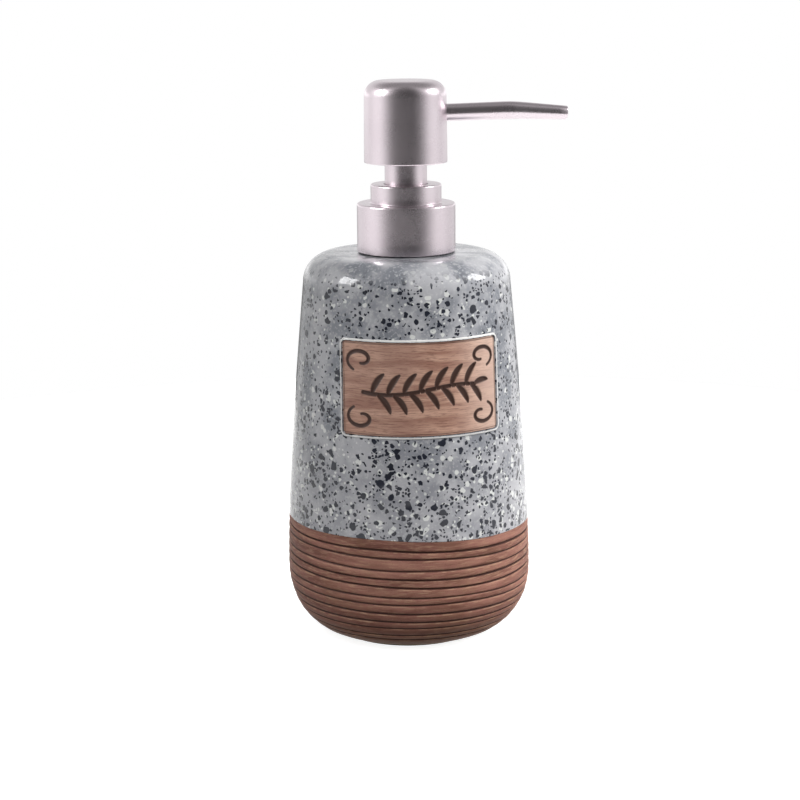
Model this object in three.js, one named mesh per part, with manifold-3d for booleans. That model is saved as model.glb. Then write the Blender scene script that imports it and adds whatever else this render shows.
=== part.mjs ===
// Soap pump dispenser: a ceramic bottle with a metal-clad lotion pump.
// Millimetres. +Z is up, the origin is the centre of the flat base, the plaque faces -Y
// and the spout points along +X.
import * as THREE from "three";
import { mergeVertices } from "three/addons/utils/BufferGeometryUtils.js";
import manifoldModule from "manifold-3d";

const solids = await manifoldModule();
solids.setup();
const { Manifold, Mesh: SolidMesh } = solids;

// ---------- driving dimensions ----------

const GAP = 0.3; // left between pieces that touch
const SEGMENTS = { bottle: 40, metal: 32, inner: 24 };

// bottle
const FOOT_R = 26.6;
const FOOT_H = 1.4;
const BELLY = { r: 40.4, z: 22 }; // where the foot's curve ends
const SIDE_CONTROL = { r: 40.5, z: 48 }; // pulls the side's curve outwards
const SHOULDER_ARC = { r: 24.5, z: 117.5, radius: 9.4 };
const BOTTLE_TOP_Z = SHOULDER_ARC.z + SHOULDER_ARC.radius;
const WALL = 4;
const FLOOR_Z = 5;
const ROOF_Z = 122;
const MOUTH_R = 12.5;
const INNER_SHOULDER = { r: 21.5, radius: 9 };
const INNER_CORNER = { width: 11, height: 14 };

// cut rings in the bare clay band
const GLAZE_LINE_Z = 39.4;
const RING = { count: 12, pitch: 3.0, width: 0.9, depth: 0.45 };
const FOOT_STEPS = [5.2, 2.4]; // plain points between the last ring and the foot's edge

// plaque
const PLAQUE = { low: 73.6, high: 103.1, width: 53.6, corner: 1.2, columns: 12 };
const PLAQUE_THICK = 1.4;
const PLAQUE_LIP = { width: 0.9, height: 0.45 };

// threaded neck and closure, 28 mm size
const THREAD = { pitch: 4.2, root: 1.8, crest: 0.9, fade: 0.35, steps: 20 };
const NECK = { bore: 10.4, root: 12.5, crest: 13.6, flangeR: 15, flangeH: 1, top: 137.6 };
const NECK_THREAD = { z: 130, from: 0, turns: 1.5 };
const NUT = { outer: 15.2, root: 13.95, crest: 12.85, bottom: 128.7, webBottom: 140.7, webR: 10 };
const NUT_THREAD = { z: NECK_THREAD.z + THREAD.pitch / 2, from: -Math.PI, turns: 1.25 };

// metal collar
const COLLAR = { r: 16, bottom: 127.3, shoulder: 143, stepR: 11.5, top: 149.1, holeR: 7.2 };
const SHEET = 0.5;
const COLLAR_EDGE = 0.7;
const STEP_EDGE = 0.45;

// pump housing
const FLANGE = { r: 12.3, bottom: 139.2, top: 140.4 };
const CUP = { outer: 9.8, inner: 8.4, floor: 131.2, bottom: 129.5 };
const BARREL = { outer: 7, inner: 6, top: 127.5, bottom: 97.6 };
const BALL_CHAMBER = { r: 3, lipR: 2.1, lipBottom: 96.6, seatTop: 93.6, seatBottom: 91.6, inletR: 1.6 };
const TUBE_SOCKET = { outer: 5.4, inner: 4.1, roof: 90.2, bottom: 78 };
const DIP_TUBE = { outer: 3.9, inner: 3, top: 89.9, bottom: 8, slant: 25 };

// guide cup that closes the housing
const GUIDE = { bore: 7.2, skirtR: 8.1, neckR: 9.65, headR: 10.7, webBottom: 131.5, webTop: 133, stemR: 4.25 };
const GUIDE_TOP = COLLAR.top - SHEET - GAP;

// moving column
const STEM = { outer: 4, bore: 1.6, bottom: 124.5, top: 165.6, seatBottom: 161.2, seatTop: 162.6, mouthR: 2.7 };
const PISTON = { bottom: 122.8, floor: 124.2, grooveTop: 129.4, top: 130.9, r: 5.4, grooveR: 4.9, bore: 4.1 };
const SEAL = { inner: 5.05, waist: 5.5, lipR: 5.9, bottom: 124.5, top: 129.1 };
const SPRING = { r: 4.6, wire: 0.4, turns: 9, endTurns: 1, steps: 12, sides: 5 };
const INLET_BALL = { r: 2.4, z: 93.7 };
const OUTLET_BALL = { r: 2.1, z: 162.75 };

// head
const SLEEVE = { outer: 6.85, inner: 6.35, bottom: 146.3, top: 161.6 };
const CORE = { neckR: 6.05, neckBottom: 146.6, bore: 4.2, bottom: 161.9, r: 12.3, top: 177, chamfer: 2 };
const CORE_SHOULDER = { z: 165.9, r: 1.7 };
const HEAD = { bottomR: 13.5, topR: 13.3, bottom: 156, top: 182.25, edge: 5, dome: 0.25, sheet: 0.6 };

// spout: a straight leg, one bend, a tapering leg
const SPOUT = {
  path: [
    { x: 8.4, z: 171.6, r: 2.75, bore: 1.9 },
    { x: 35.1, z: 172.1, r: 2.87, bore: 1.9 },
    { x: 52.9, z: 170.9, r: 2.2, bore: 1.35 },
  ],
  socketX: 8.1,
  holeR: 3,
};

// ---------- finishes ----------

function finish(color, roughness, metalness = 0) {
  return new THREE.MeshStandardMaterial({ color, roughness, metalness });
}

const satinNickel = finish(0xbdb4b3, 0.32, 1);
const speckledGlaze = finish(0x9ea3a5, 0.12);
const carvedWoodTone = finish(0xa9846b, 0.5);
const whitePlastic = finish(0xe9e8e2, 0.45);
const clearTube = finish(0xdde2e2, 0.3);
const softSeal = finish(0xc9cdd2, 0.6);
const springSteel = finish(0xb9bcc0, 0.25, 1);
const ballGlass = finish(0xbfd6cf, 0.08);
const neckPlastic = finish(0x2c2c2e, 0.5);

// ---------- shape helpers ----------

// A piece turned about Z from a closed outline of [radius, z] points, anticlockwise.
function turned(outline, segments) {
  const points = outline.map(([r, z]) => new THREE.Vector2(r, z));
  const onAxis = points[0].x === 0 && points.at(-1).x === 0;
  if (!onAxis) points.push(points[0].clone());
  return new THREE.LatheGeometry(points, segments).rotateX(Math.PI / 2);
}

// Points of an elliptical arc in the outline's plane, angles in degrees.
function ellipseArc(r, z, halfWidth, halfHeight, from, to, steps) {
  return Array.from({ length: steps + 1 }, (_, i) => {
    const angle = THREE.MathUtils.degToRad(from + ((to - from) * i) / steps);
    return [r + halfWidth * Math.cos(angle), z + halfHeight * Math.sin(angle)];
  });
}

function arc(r, z, radius, from, to, steps) {
  return ellipseArc(r, z, radius, radius, from, to, steps);
}

// A solid through a row of equal-length rings of points, closed flat at both ends.
function lofted(rings) {
  const sides = rings[0].length;
  const positions = rings.flat().flatMap((p) => [p.x, p.y, p.z]);
  const index = [];
  for (let ring = 0; ring < rings.length - 1; ring++)
    for (let side = 0; side < sides; side++) {
      const a = ring * sides + side;
      const b = ring * sides + ((side + 1) % sides);
      index.push(a, b, b + sides, a, b + sides, a + sides);
    }
  const last = (rings.length - 1) * sides;
  for (let side = 1; side < sides - 1; side++) {
    index.push(0, side + 1, side);
    index.push(last, last + side, last + side + 1);
  }
  return new THREE.BufferGeometry()
    .setAttribute("position", new THREE.Float32BufferAttribute(positions, 3))
    .setIndex(index);
}

function toSolid(geometry) {
  const bare = new THREE.BufferGeometry().setAttribute("position", geometry.getAttribute("position"));
  const merged = mergeVertices(bare.setIndex(geometry.index), 1e-4);
  const solid = new Manifold(
    new SolidMesh({
      numProp: 3,
      vertProperties: merged.attributes.position.array,
      triVerts: new Uint32Array(merged.index.array),
    }),
  );
  if (solid.volume() < 0) throw new Error("a shape's faces point inwards");
  return solid;
}

function toGeometry(solid) {
  const { vertProperties, triVerts } = solid.getMesh();
  const geometry = new THREE.BufferGeometry()
    .setAttribute("position", new THREE.BufferAttribute(vertProperties, 3))
    .setIndex(new THREE.BufferAttribute(triVerts, 1));
  geometry.computeVertexNormals();
  return geometry;
}

function joined(first, ...others) {
  return toGeometry(others.reduce((solid, other) => solid.add(toSolid(other)), toSolid(first)));
}

function cutBy(first, ...cutters) {
  return toGeometry(cutters.reduce((solid, cutter) => solid.subtract(toSolid(cutter)), toSolid(first)));
}

// A screw ridge on a cylinder: crestR above rootR stands out, crestR below it stands in.
function screwRidge({ z, from, turns }, rootR, crestR) {
  const outward = Math.sign(crestR - rootR);
  const buried = rootR - outward * GAP;
  const total = turns * 2 * Math.PI;
  const count = Math.round(turns * THREAD.steps);
  const rings = Array.from({ length: count + 1 }, (_, i) => {
    const turn = (total * i) / count;
    const rise = Math.min(1, turn / THREAD.fade, (total - turn) / THREAD.fade);
    const height = Math.max(rise, 0.05);
    const crest = rootR + (crestR - rootR) * height;
    const angle = from + turn;
    const middle = z + (THREAD.pitch * angle) / (2 * Math.PI);
    const section = [
      [buried, -THREAD.root / 2],
      [crest, -THREAD.crest / 2],
      [crest, THREAD.crest / 2],
      [buried, THREAD.root / 2],
    ];
    const around = outward > 0 ? section : section.toReversed();
    return around.map(([r, dz]) => new THREE.Vector3(r * Math.cos(angle), r * Math.sin(angle), middle + dz));
  });
  return lofted(rings.toReversed());
}

// Round rings along a path of {x, z, r} stations in the XZ plane, mitred at each bend.
function roundTube(stations, radius, sides) {
  return lofted(
    stations.map((station, i) => {
      const before = stations[Math.max(i - 1, 0)];
      const after = stations[Math.min(i + 1, stations.length - 1)];
      const tilt = Math.atan2(after.z - before.z, after.x - before.x);
      return Array.from({ length: sides }, (_, side) => {
        const angle = (2 * Math.PI * side) / sides;
        const up = radius(station) * Math.sin(angle);
        return new THREE.Vector3(
          station.x - up * Math.sin(tilt),
          radius(station) * Math.cos(angle),
          station.z + up * Math.cos(tilt),
        );
      });
    }),
  );
}

// ---------- bottle ----------

// The foot's curve is a quarter ellipse from the foot's edge to the belly.
const footCurve = ellipseArc(FOOT_R, BELLY.z, BELLY.r - FOOT_R, BELLY.z - FOOT_H, -90, 0, 24);

const sideCurve = new THREE.QuadraticBezierCurve(
  new THREE.Vector2(BELLY.r, BELLY.z),
  new THREE.Vector2(SIDE_CONTROL.r, SIDE_CONTROL.z),
  new THREE.Vector2(SHOULDER_ARC.r + SHOULDER_ARC.radius, SHOULDER_ARC.z),
);

// The bottle's outer line from the foot to the shoulder, without its cut rings.
const outerLine = [...footCurve, ...sideCurve.getPoints(24).slice(1).map((p) => [p.x, p.y])];

// Radius of the plain side at a height.
function sideRadius(z) {
  const above = outerLine.findIndex(([, height]) => height >= z);
  const [r0, z0] = outerLine[above - 1];
  const [r1, z1] = outerLine[above];
  return THREE.MathUtils.mapLinear(z, z0, z1, r0, r1);
}

// The band's line from the glaze line down to the foot, with a V for each cut ring.
function bandLine() {
  const curve = new THREE.Path();
  const descending = outerLine.filter(([, z]) => z < GLAZE_LINE_Z).reverse();
  curve.moveTo(sideRadius(GLAZE_LINE_Z), GLAZE_LINE_Z);
  descending.forEach(([r, z]) => curve.lineTo(r, z));
  const length = curve.getLength();
  const at = (distance) => curve.getPointAt(distance / length);
  const line = [];
  for (let ring = 1; ring <= RING.count; ring++) {
    const middle = ring * RING.pitch;
    const upper = at(middle - RING.width / 2);
    const lower = at(middle + RING.width / 2);
    const inward = new THREE.Vector2().subVectors(lower, upper).normalize();
    const bottom = at(middle).addScaledVector(new THREE.Vector2(inward.y, -inward.x), RING.depth);
    line.push(upper, bottom, lower);
  }
  FOOT_STEPS.forEach((distance) => line.push(at(length - distance)));
  return line.map((p) => [p.x, p.y]).reverse();
}

function bottleOutline() {
  const upperSide = [0, 1, 2, 3, 4, 5].map((i) => {
    const z = THREE.MathUtils.lerp(GLAZE_LINE_Z, SHOULDER_ARC.z, i / 6);
    return [sideRadius(z), z];
  });
  const cornerR = BELLY.r - WALL - INNER_CORNER.width;
  const inner = [
    [MOUTH_R, BOTTLE_TOP_Z],
    [MOUTH_R, ROOF_Z],
    ...arc(INNER_SHOULDER.r, ROOF_Z - INNER_SHOULDER.radius, INNER_SHOULDER.radius, 90, 8, 4),
    ...[90, 66, 44, 30].map((z) => [sideRadius(z) - WALL, z]),
    ...ellipseArc(cornerR, FLOOR_Z + INNER_CORNER.height, INNER_CORNER.width, INNER_CORNER.height, 0, -90, 5),
    [0, FLOOR_Z],
  ];
  return [
    [0, 0],
    [FOOT_R - 0.4, 0],
    [FOOT_R, FOOT_H],
    ...bandLine(),
    ...upperSide,
    ...arc(SHOULDER_ARC.r, SHOULDER_ARC.z, SHOULDER_ARC.radius, 0, 90, 6),
    ...inner,
  ];
}

// A slab with rounded corners, wrapped round the bottle's front at the plaque's place.
function wrappedSlab(border, above, below) {
  const low = PLAQUE.low - border;
  const high = PLAQUE.high + border;
  const half = PLAQUE.width / 2 + border;
  const corner = PLAQUE.corner + border;
  const cornerColumns = [0, 30, 60, 90].map((degrees) => {
    const angle = THREE.MathUtils.degToRad(degrees);
    return { along: half - corner * (1 - Math.cos(angle)), cut: corner * (1 - Math.sin(angle)) };
  });
  const flat = half - corner;
  const middleColumns = Array.from({ length: PLAQUE.columns - 1 }, (_, i) => ({
    along: flat * (1 - (2 * (i + 1)) / PLAQUE.columns),
    cut: 0,
  }));
  const mirrored = cornerColumns.map(({ along, cut }) => ({ along: -along, cut })).reverse();
  const columns = [...cornerColumns, ...middleColumns, ...mirrored];
  const levels = [0, 0.25, 0.5, 0.75, 1];
  const rings = columns.map(({ along, cut }) => {
    const heights = levels.map((t) => THREE.MathUtils.lerp(low + cut, high - cut, t));
    const outside = heights.map((z) => [sideRadius(z) + above, z]);
    const inside = heights.map((z) => [sideRadius(z) - below, z]).reverse();
    return [...outside, ...inside].map(([r, z]) => {
      const angle = along / sideRadius(z) - Math.PI / 2;
      return new THREE.Vector3(r * Math.cos(angle), r * Math.sin(angle), z);
    });
  });
  return lofted(rings);
}

function ceramicBottle() {
  const body = turned(bottleOutline(), SEGMENTS.bottle);
  const lip = wrappedSlab(PLAQUE_LIP.width, PLAQUE_LIP.height, WALL / 2);
  const pocket = wrappedSlab(GAP, WALL, PLAQUE_THICK + GAP);
  return cutBy(joined(body, lip), pocket);
}

function labelPlaque() {
  return wrappedSlab(0, 0, PLAQUE_THICK);
}

// ---------- neck and closure ----------

function neckInsert() {
  const seat = BOTTLE_TOP_Z + 0.4;
  const ring = turned(
    [
      [NECK.bore, ROOF_Z - 2],
      [MOUTH_R - GAP, ROOF_Z - 2],
      [MOUTH_R - GAP, seat],
      [NECK.flangeR, seat],
      [NECK.flangeR, seat + NECK.flangeH],
      [NECK.root, seat + NECK.flangeH],
      [NECK.root, NECK.top],
      [NECK.bore, NECK.top],
    ],
    SEGMENTS.inner,
  );
  return joined(ring, screwRidge(NECK_THREAD, NECK.root, NECK.crest));
}

function collarNut() {
  const webTop = COLLAR.shoulder - SHEET - GAP;
  const ring = turned(
    [
      [NUT.root, NUT.bottom],
      [NUT.outer, NUT.bottom],
      [NUT.outer, webTop],
      [NUT.webR, webTop],
      [NUT.webR, NUT.webBottom],
      [NUT.root, NUT.webBottom],
    ],
    SEGMENTS.inner,
  );
  return joined(ring, screwRidge(NUT_THREAD, NUT.root, NUT.crest));
}

function neckGasket() {
  return turned(
    [
      [NECK.bore + 0.2, NECK.top + GAP],
      [FLANGE.r, NECK.top + GAP],
      [FLANGE.r, FLANGE.bottom - GAP],
      [NECK.bore + 0.2, FLANGE.bottom - GAP],
    ],
    SEGMENTS.inner,
  );
}

function collarShell() {
  const outside = [
    [COLLAR.r, COLLAR.bottom],
    ...arc(COLLAR.r - COLLAR_EDGE, COLLAR.shoulder - COLLAR_EDGE, COLLAR_EDGE, 0, 90, 3),
    [COLLAR.stepR, COLLAR.shoulder],
    ...arc(COLLAR.stepR - STEP_EDGE, COLLAR.top - STEP_EDGE, STEP_EDGE, 0, 90, 2),
    [COLLAR.holeR, COLLAR.top],
  ];
  const inside = [
    [COLLAR.holeR, COLLAR.top - SHEET],
    [COLLAR.stepR - SHEET, COLLAR.top - SHEET],
    [COLLAR.stepR - SHEET, COLLAR.shoulder - SHEET],
    [COLLAR.r - SHEET, COLLAR.shoulder - SHEET],
    [COLLAR.r - SHEET, COLLAR.bottom],
  ];
  return turned([...outside, ...inside], SEGMENTS.metal);
}

// ---------- pump ----------

function pumpHousing() {
  const outside = [
    [TUBE_SOCKET.inner, TUBE_SOCKET.bottom],
    [TUBE_SOCKET.outer, TUBE_SOCKET.bottom],
    [TUBE_SOCKET.outer, TUBE_SOCKET.roof + 2],
    [BARREL.outer, BARREL.bottom - 1.5],
    [BARREL.outer, BARREL.top],
    [CUP.outer, CUP.bottom],
    [CUP.outer, FLANGE.bottom],
    [FLANGE.r, FLANGE.bottom],
    [FLANGE.r, FLANGE.top],
  ];
  const inside = [
    [CUP.inner, FLANGE.top],
    [CUP.inner, CUP.floor],
    [BARREL.inner, CUP.floor],
    [BARREL.inner, BARREL.bottom],
    [BALL_CHAMBER.lipR, BARREL.bottom],
    [BALL_CHAMBER.lipR, BALL_CHAMBER.lipBottom],
    [BALL_CHAMBER.r, BALL_CHAMBER.lipBottom],
    [BALL_CHAMBER.r, BALL_CHAMBER.seatTop],
    [BALL_CHAMBER.inletR, BALL_CHAMBER.seatBottom],
    [BALL_CHAMBER.inletR, TUBE_SOCKET.roof],
    [TUBE_SOCKET.inner, TUBE_SOCKET.roof],
  ];
  return turned([...outside, ...inside], SEGMENTS.inner);
}

function guideCup() {
  return turned(
    [
      [GUIDE.stemR, GUIDE.webBottom],
      [GUIDE.skirtR, GUIDE.webBottom],
      [GUIDE.skirtR, FLANGE.top + GAP],
      [GUIDE.neckR, FLANGE.top + GAP],
      [GUIDE.neckR, COLLAR.shoulder - SHEET],
      [GUIDE.headR, COLLAR.shoulder - SHEET],
      [GUIDE.headR, GUIDE_TOP],
      [GUIDE.bore, GUIDE_TOP],
      [GUIDE.bore, GUIDE.webTop],
      [GUIDE.stemR, GUIDE.webTop],
    ],
    SEGMENTS.inner,
  );
}

// The tube's foot is cut on a slant, so that it can't seal against the floor.
function dipTube() {
  const tube = turned(
    [
      [DIP_TUBE.inner, DIP_TUBE.bottom],
      [DIP_TUBE.outer, DIP_TUBE.bottom],
      [DIP_TUBE.outer, DIP_TUBE.top],
      [DIP_TUBE.inner, DIP_TUBE.top],
    ],
    SEGMENTS.inner,
  );
  const slant = THREE.MathUtils.degToRad(DIP_TUBE.slant);
  const normal = [Math.sin(slant), 0, Math.cos(slant)];
  const lowest = DIP_TUBE.outer * Math.sin(slant) + DIP_TUBE.bottom * Math.cos(slant);
  return toGeometry(toSolid(tube).trimByPlane(normal, lowest));
}

function returnSpring() {
  const bottom = BARREL.bottom + GAP + SPRING.wire;
  const top = PISTON.bottom - GAP - SPRING.wire;
  const closedPitch = 2 * SPRING.wire + 0.1;
  const openTurns = SPRING.turns - 2 * SPRING.endTurns;
  const openPitch = (top - bottom - 2 * SPRING.endTurns * closedPitch) / openTurns;
  const height = (turn) => {
    const opened = THREE.MathUtils.clamp(turn - SPRING.endTurns, 0, openTurns);
    return bottom + (turn - opened) * closedPitch + opened * openPitch;
  };
  const count = SPRING.turns * SPRING.steps;
  const rings = Array.from({ length: count + 1 }, (_, i) => {
    const turn = i / SPRING.steps;
    const angle = turn * 2 * Math.PI;
    return Array.from({ length: SPRING.sides }, (_, side) => {
      const around = (side / SPRING.sides) * 2 * Math.PI;
      const r = SPRING.r + SPRING.wire * Math.cos(around);
      const z = height(turn) + SPRING.wire * Math.sin(around);
      return new THREE.Vector3(r * Math.cos(angle), r * Math.sin(angle), z);
    });
  });
  return lofted(rings.toReversed());
}

function piston() {
  return turned(
    [
      [STEM.bore, PISTON.bottom],
      [PISTON.r, PISTON.bottom],
      [PISTON.r, PISTON.floor],
      [PISTON.grooveR, PISTON.floor],
      [PISTON.grooveR, PISTON.grooveTop],
      [PISTON.r, PISTON.grooveTop],
      [PISTON.r, PISTON.top],
      [PISTON.bore, PISTON.top],
      [PISTON.bore, PISTON.floor],
      [STEM.bore, PISTON.floor],
    ],
    SEGMENTS.inner,
  );
}

function pistonSeal() {
  const lip = 0.8;
  const flare = 1.6;
  return turned(
    [
      [SEAL.inner, SEAL.bottom],
      [SEAL.lipR, SEAL.bottom],
      [SEAL.lipR, SEAL.bottom + lip],
      [SEAL.waist, SEAL.bottom + flare],
      [SEAL.waist, SEAL.top - flare],
      [SEAL.lipR, SEAL.top - lip],
      [SEAL.lipR, SEAL.top],
      [SEAL.inner, SEAL.top],
    ],
    SEGMENTS.inner,
  );
}

function pumpStem() {
  return turned(
    [
      [STEM.bore, STEM.bottom],
      [STEM.outer, STEM.bottom],
      [STEM.outer, STEM.top],
      [STEM.mouthR, STEM.top],
      [STEM.mouthR, STEM.seatTop],
      [STEM.bore, STEM.seatBottom],
    ],
    SEGMENTS.inner,
  );
}

function valveBall({ r, z }) {
  return new THREE.SphereGeometry(r, 14, 9).rotateX(Math.PI / 2).translate(0, 0, z);
}

// ---------- head ----------

function stemSleeve() {
  return turned(
    [
      [SLEEVE.inner, SLEEVE.bottom],
      [SLEEVE.outer, SLEEVE.bottom],
      [SLEEVE.outer, SLEEVE.top],
      [SLEEVE.inner, SLEEVE.top],
    ],
    SEGMENTS.metal,
  );
}

// The core's bore takes the stem, and its channel leads to the spout's socket.
function headCore() {
  const channelZ = SPOUT.path[0].z;
  const body = turned(
    [
      [0, channelZ + CORE_SHOULDER.r],
      [CORE_SHOULDER.r, channelZ],
      [CORE_SHOULDER.r, CORE_SHOULDER.z],
      [CORE.bore, CORE_SHOULDER.z],
      [CORE.bore, CORE.neckBottom],
      [CORE.neckR, CORE.neckBottom],
      [CORE.neckR, CORE.bottom],
      [CORE.r, CORE.bottom],
      [CORE.r, CORE.top - CORE.chamfer],
      [CORE.r - CORE.chamfer, CORE.top],
      [0, CORE.top],
    ],
    SEGMENTS.inner,
  );
  const channel = [
    { x: 0, z: channelZ, r: CORE_SHOULDER.r },
    { x: CORE.r + 1, z: channelZ, r: CORE_SHOULDER.r },
  ];
  const socket = [
    { x: SPOUT.socketX, z: channelZ, r: SPOUT.holeR },
    { x: CORE.r + 1, z: channelZ, r: SPOUT.holeR },
  ];
  const radius = (station) => station.r;
  return cutBy(body, roundTube(channel, radius, 14), roundTube(socket, radius, 20));
}

function headShell() {
  const capLine = (inset) => [
    [HEAD.bottomR - inset, HEAD.bottom],
    ...arc(HEAD.topR - HEAD.edge, HEAD.top - HEAD.edge, HEAD.edge - inset, 0, 85, 6),
    [0, HEAD.top + HEAD.dome - inset],
  ];
  const cap = turned([...capLine(HEAD.sheet).reverse(), ...capLine(0)], SEGMENTS.metal);
  const hole = [
    { x: CORE.r - 1, z: SPOUT.path[0].z, r: SPOUT.holeR },
    { x: HEAD.bottomR + 1, z: SPOUT.path[0].z, r: SPOUT.holeR },
  ];
  return cutBy(cap, roundTube(hole, (station) => station.r, 20));
}

function spoutTube() {
  const past = SPOUT.path.map((station) => ({ ...station }));
  past[0].x -= 1;
  past.at(-1).x += 1;
  const outside = roundTube(SPOUT.path, (station) => station.r, 20);
  return cutBy(outside, roundTube(past, (station) => station.bore, 14));
}

// ---------- assembly ----------

function piece(name, geometry, material) {
  const mesh = new THREE.Mesh(geometry, material);
  mesh.name = name;
  return mesh;
}

function groupOf(...pieces) {
  return new THREE.Group().add(...pieces);
}

const bottle = groupOf(
  piece("ceramic_bottle", ceramicBottle(), speckledGlaze),
  piece("label_plaque", labelPlaque(), carvedWoodTone),
  piece("neck_insert", neckInsert(), neckPlastic),
);

const closure = groupOf(
  piece("collar_shell", collarShell(), satinNickel),
  piece("collar_nut", collarNut(), whitePlastic),
);

const pumpBody = groupOf(
  piece("pump_housing", pumpHousing(), whitePlastic),
  piece("guide_cup", guideCup(), whitePlastic),
  piece("neck_gasket", neckGasket(), softSeal),
  piece("dip_tube", dipTube(), clearTube),
  piece("inlet_ball", valveBall(INLET_BALL), ballGlass),
  piece("return_spring", returnSpring(), springSteel),
);

const pumpHead = groupOf(
  piece("head_shell", headShell(), satinNickel),
  piece("head_core", headCore(), whitePlastic),
  piece("spout_tube", spoutTube(), satinNickel),
  piece("stem_sleeve", stemSleeve(), satinNickel),
  piece("pump_stem", pumpStem(), whitePlastic),
  piece("piston", piston(), whitePlastic),
  piece("piston_seal", pistonSeal(), softSeal),
  piece("outlet_ball", valveBall(OUTLET_BALL), ballGlass),
);

export default groupOf(bottle, closure, pumpBody, pumpHead);
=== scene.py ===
# %% [markdown]
# # A soap pump dispenser, one piece at a time
# The object is a thrown ceramic bottle with a metal-clad lotion pump.
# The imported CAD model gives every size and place, so it is loaded first and never moved.
# Each chapter below makes one real piece, says how it could be made, and why this way was chosen.

# %% Load the frame
import math

import bmesh
import bpy
from mathutils import Matrix, Vector, geometry, kdtree, noise


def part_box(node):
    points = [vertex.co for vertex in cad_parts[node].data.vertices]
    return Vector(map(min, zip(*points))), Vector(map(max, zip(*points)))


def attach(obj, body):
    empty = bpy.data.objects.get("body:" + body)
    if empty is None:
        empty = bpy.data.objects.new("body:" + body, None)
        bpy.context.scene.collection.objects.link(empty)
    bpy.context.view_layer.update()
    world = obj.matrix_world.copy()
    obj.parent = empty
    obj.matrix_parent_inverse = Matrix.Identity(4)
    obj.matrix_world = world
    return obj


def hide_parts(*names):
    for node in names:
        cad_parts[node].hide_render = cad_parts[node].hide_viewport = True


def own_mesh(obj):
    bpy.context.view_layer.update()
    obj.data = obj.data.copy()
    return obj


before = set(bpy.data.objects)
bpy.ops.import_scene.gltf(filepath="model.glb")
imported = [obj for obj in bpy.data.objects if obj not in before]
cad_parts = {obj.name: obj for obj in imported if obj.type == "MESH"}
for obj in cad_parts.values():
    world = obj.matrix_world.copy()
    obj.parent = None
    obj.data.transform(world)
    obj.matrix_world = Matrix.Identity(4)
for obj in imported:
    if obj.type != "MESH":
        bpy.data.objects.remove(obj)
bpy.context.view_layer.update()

# %% [markdown]
# ## Reading sizes from the frame
# Outlines are easiest to read in millimetres, while Blender works in metres here.
# `span` turns a CAD node's box into the three numbers that a turned piece needs:
# its outer radius, its bottom and its top.

# %% Sizes in millimetres
MM = 0.001


def span(node):
    """A turned node's outer radius, bottom and top."""
    low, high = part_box(node)
    return (high.y - low.y) / 2 / MM, low.z / MM, high.z / MM


BOTTLE_R, _, BOTTLE_TOP = span("ceramic_bottle")
print(f"bottle: {2 * BOTTLE_R:.1f} mm across, mouth at {BOTTLE_TOP:.1f} mm")

# %% [markdown]
# ## Arcs for outlines
# A turned piece is only as good as its outline. Pressed metal and moulded plastic have no
# sharp corners, so an outline is written as corners with a rounding each, and `rounded`
# puts an arc there. A Bevel modifier could round the finished mesh instead, but an arc in
# the outline costs nothing on the straight stretches and stays exact.


# %% Rounded outlines
def rounded(corners, steps=5):
    """Points of a closed outline; a corner (radius, height, rounding) becomes an arc."""
    points = []
    for i, corner in enumerate(corners):
        here = Vector(corner[:2])
        rounding = corner[2] if len(corner) > 2 else 0
        if not rounding:
            points.append(here)
            continue
        before = (Vector(corners[i - 1][:2]) - here).normalized()
        after = (Vector(corners[(i + 1) % len(corners)][:2]) - here).normalized()
        half = before.angle(after) / 2
        reach = rounding / math.tan(half)
        centre = here + (before + after).normalized() * (rounding / math.sin(half))
        start = here + before * reach - centre
        stop = here + after * reach - centre
        for k in range(steps + 1):
            swing = start.lerp(stop, k / steps)
            points.append(centre + swing.normalized() * rounding)
    return points


def arc(centre, radii, start, stop, steps):
    """Points of an elliptical arc, with its angles in degrees from the outward direction."""
    (x, y), (wide, tall) = centre, radii
    turns = [math.radians(start + (stop - start) * k / steps) for k in range(steps + 1)]
    return [Vector((x + wide * math.cos(t), y + tall * math.sin(t))) for t in turns]


print("a rounded corner has", len(rounded([(0, 0), (1, 0, 0.2), (1, 1)])) - 2, "points")

# %% [markdown]
# ## Turning an outline
# The bottle, the pump's metal covers and nearly all its plastic are bodies of revolution.
# They could be stacked cylinders or a Screw modifier. Here `bmesh.ops.spin` turns the outline
# once round Z and joins the last ring to the first, so the mesh is closed and ready to edit.
# Smooth shading spreads a rounded corner's slope along the next face, so each long stretch
# first gets a holding point near both its ends.


# %% Spin an outline
HOLD = 0.06
LONG = 1.2


def held(line):
    """The outline with a point close to each end of its long stretches."""
    points = []
    for start, stop in zip(line, line[1:]):
        points.append(start)
        length = (stop - start).length
        if length > LONG:
            points += [start.lerp(stop, HOLD / length), stop.lerp(start, HOLD / length)]
    return points + [line[-1]]


def turned(outline, steps=96):
    """A bmesh turned about Z from an outline in millimetres, closed unless it ends on the axis."""
    open_ended = not outline[0][0] and not outline[-1][0]
    line = held([Vector(p[:2]) for p in outline] + ([] if open_ended else [Vector(outline[0][:2])]))
    bm = bmesh.new()
    verts = [bm.verts.new((p.x * MM, 0, p.y * MM)) for p in (line if open_ended else line[:-1])]
    edges = [bm.edges.new(pair) for pair in zip(verts, verts[1:])]
    if not open_ended:
        edges.append(bm.edges.new((verts[-1], verts[0])))
    bmesh.ops.spin(
        bm, geom=verts + edges, cent=(0, 0, 0), axis=(0, 0, 1), dvec=(0, 0, 0),
        angle=2 * math.pi, steps=steps, use_merge=True,
    )
    bmesh.ops.remove_doubles(bm, verts=bm.verts, dist=0.002 * MM)
    bmesh.ops.recalc_face_normals(bm, faces=bm.faces)
    return bm


# %% [markdown]
# ## From mesh to piece
# A finished mesh becomes an object that sits at the origin with its place in its mesh.
# It is shaded smooth with crisp edges where the surface really turns, rides on its CAD body,
# and stands for the plain CAD solid of the same part.


# %% Settle a piece on its body
CRISP = math.radians(38)


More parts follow.
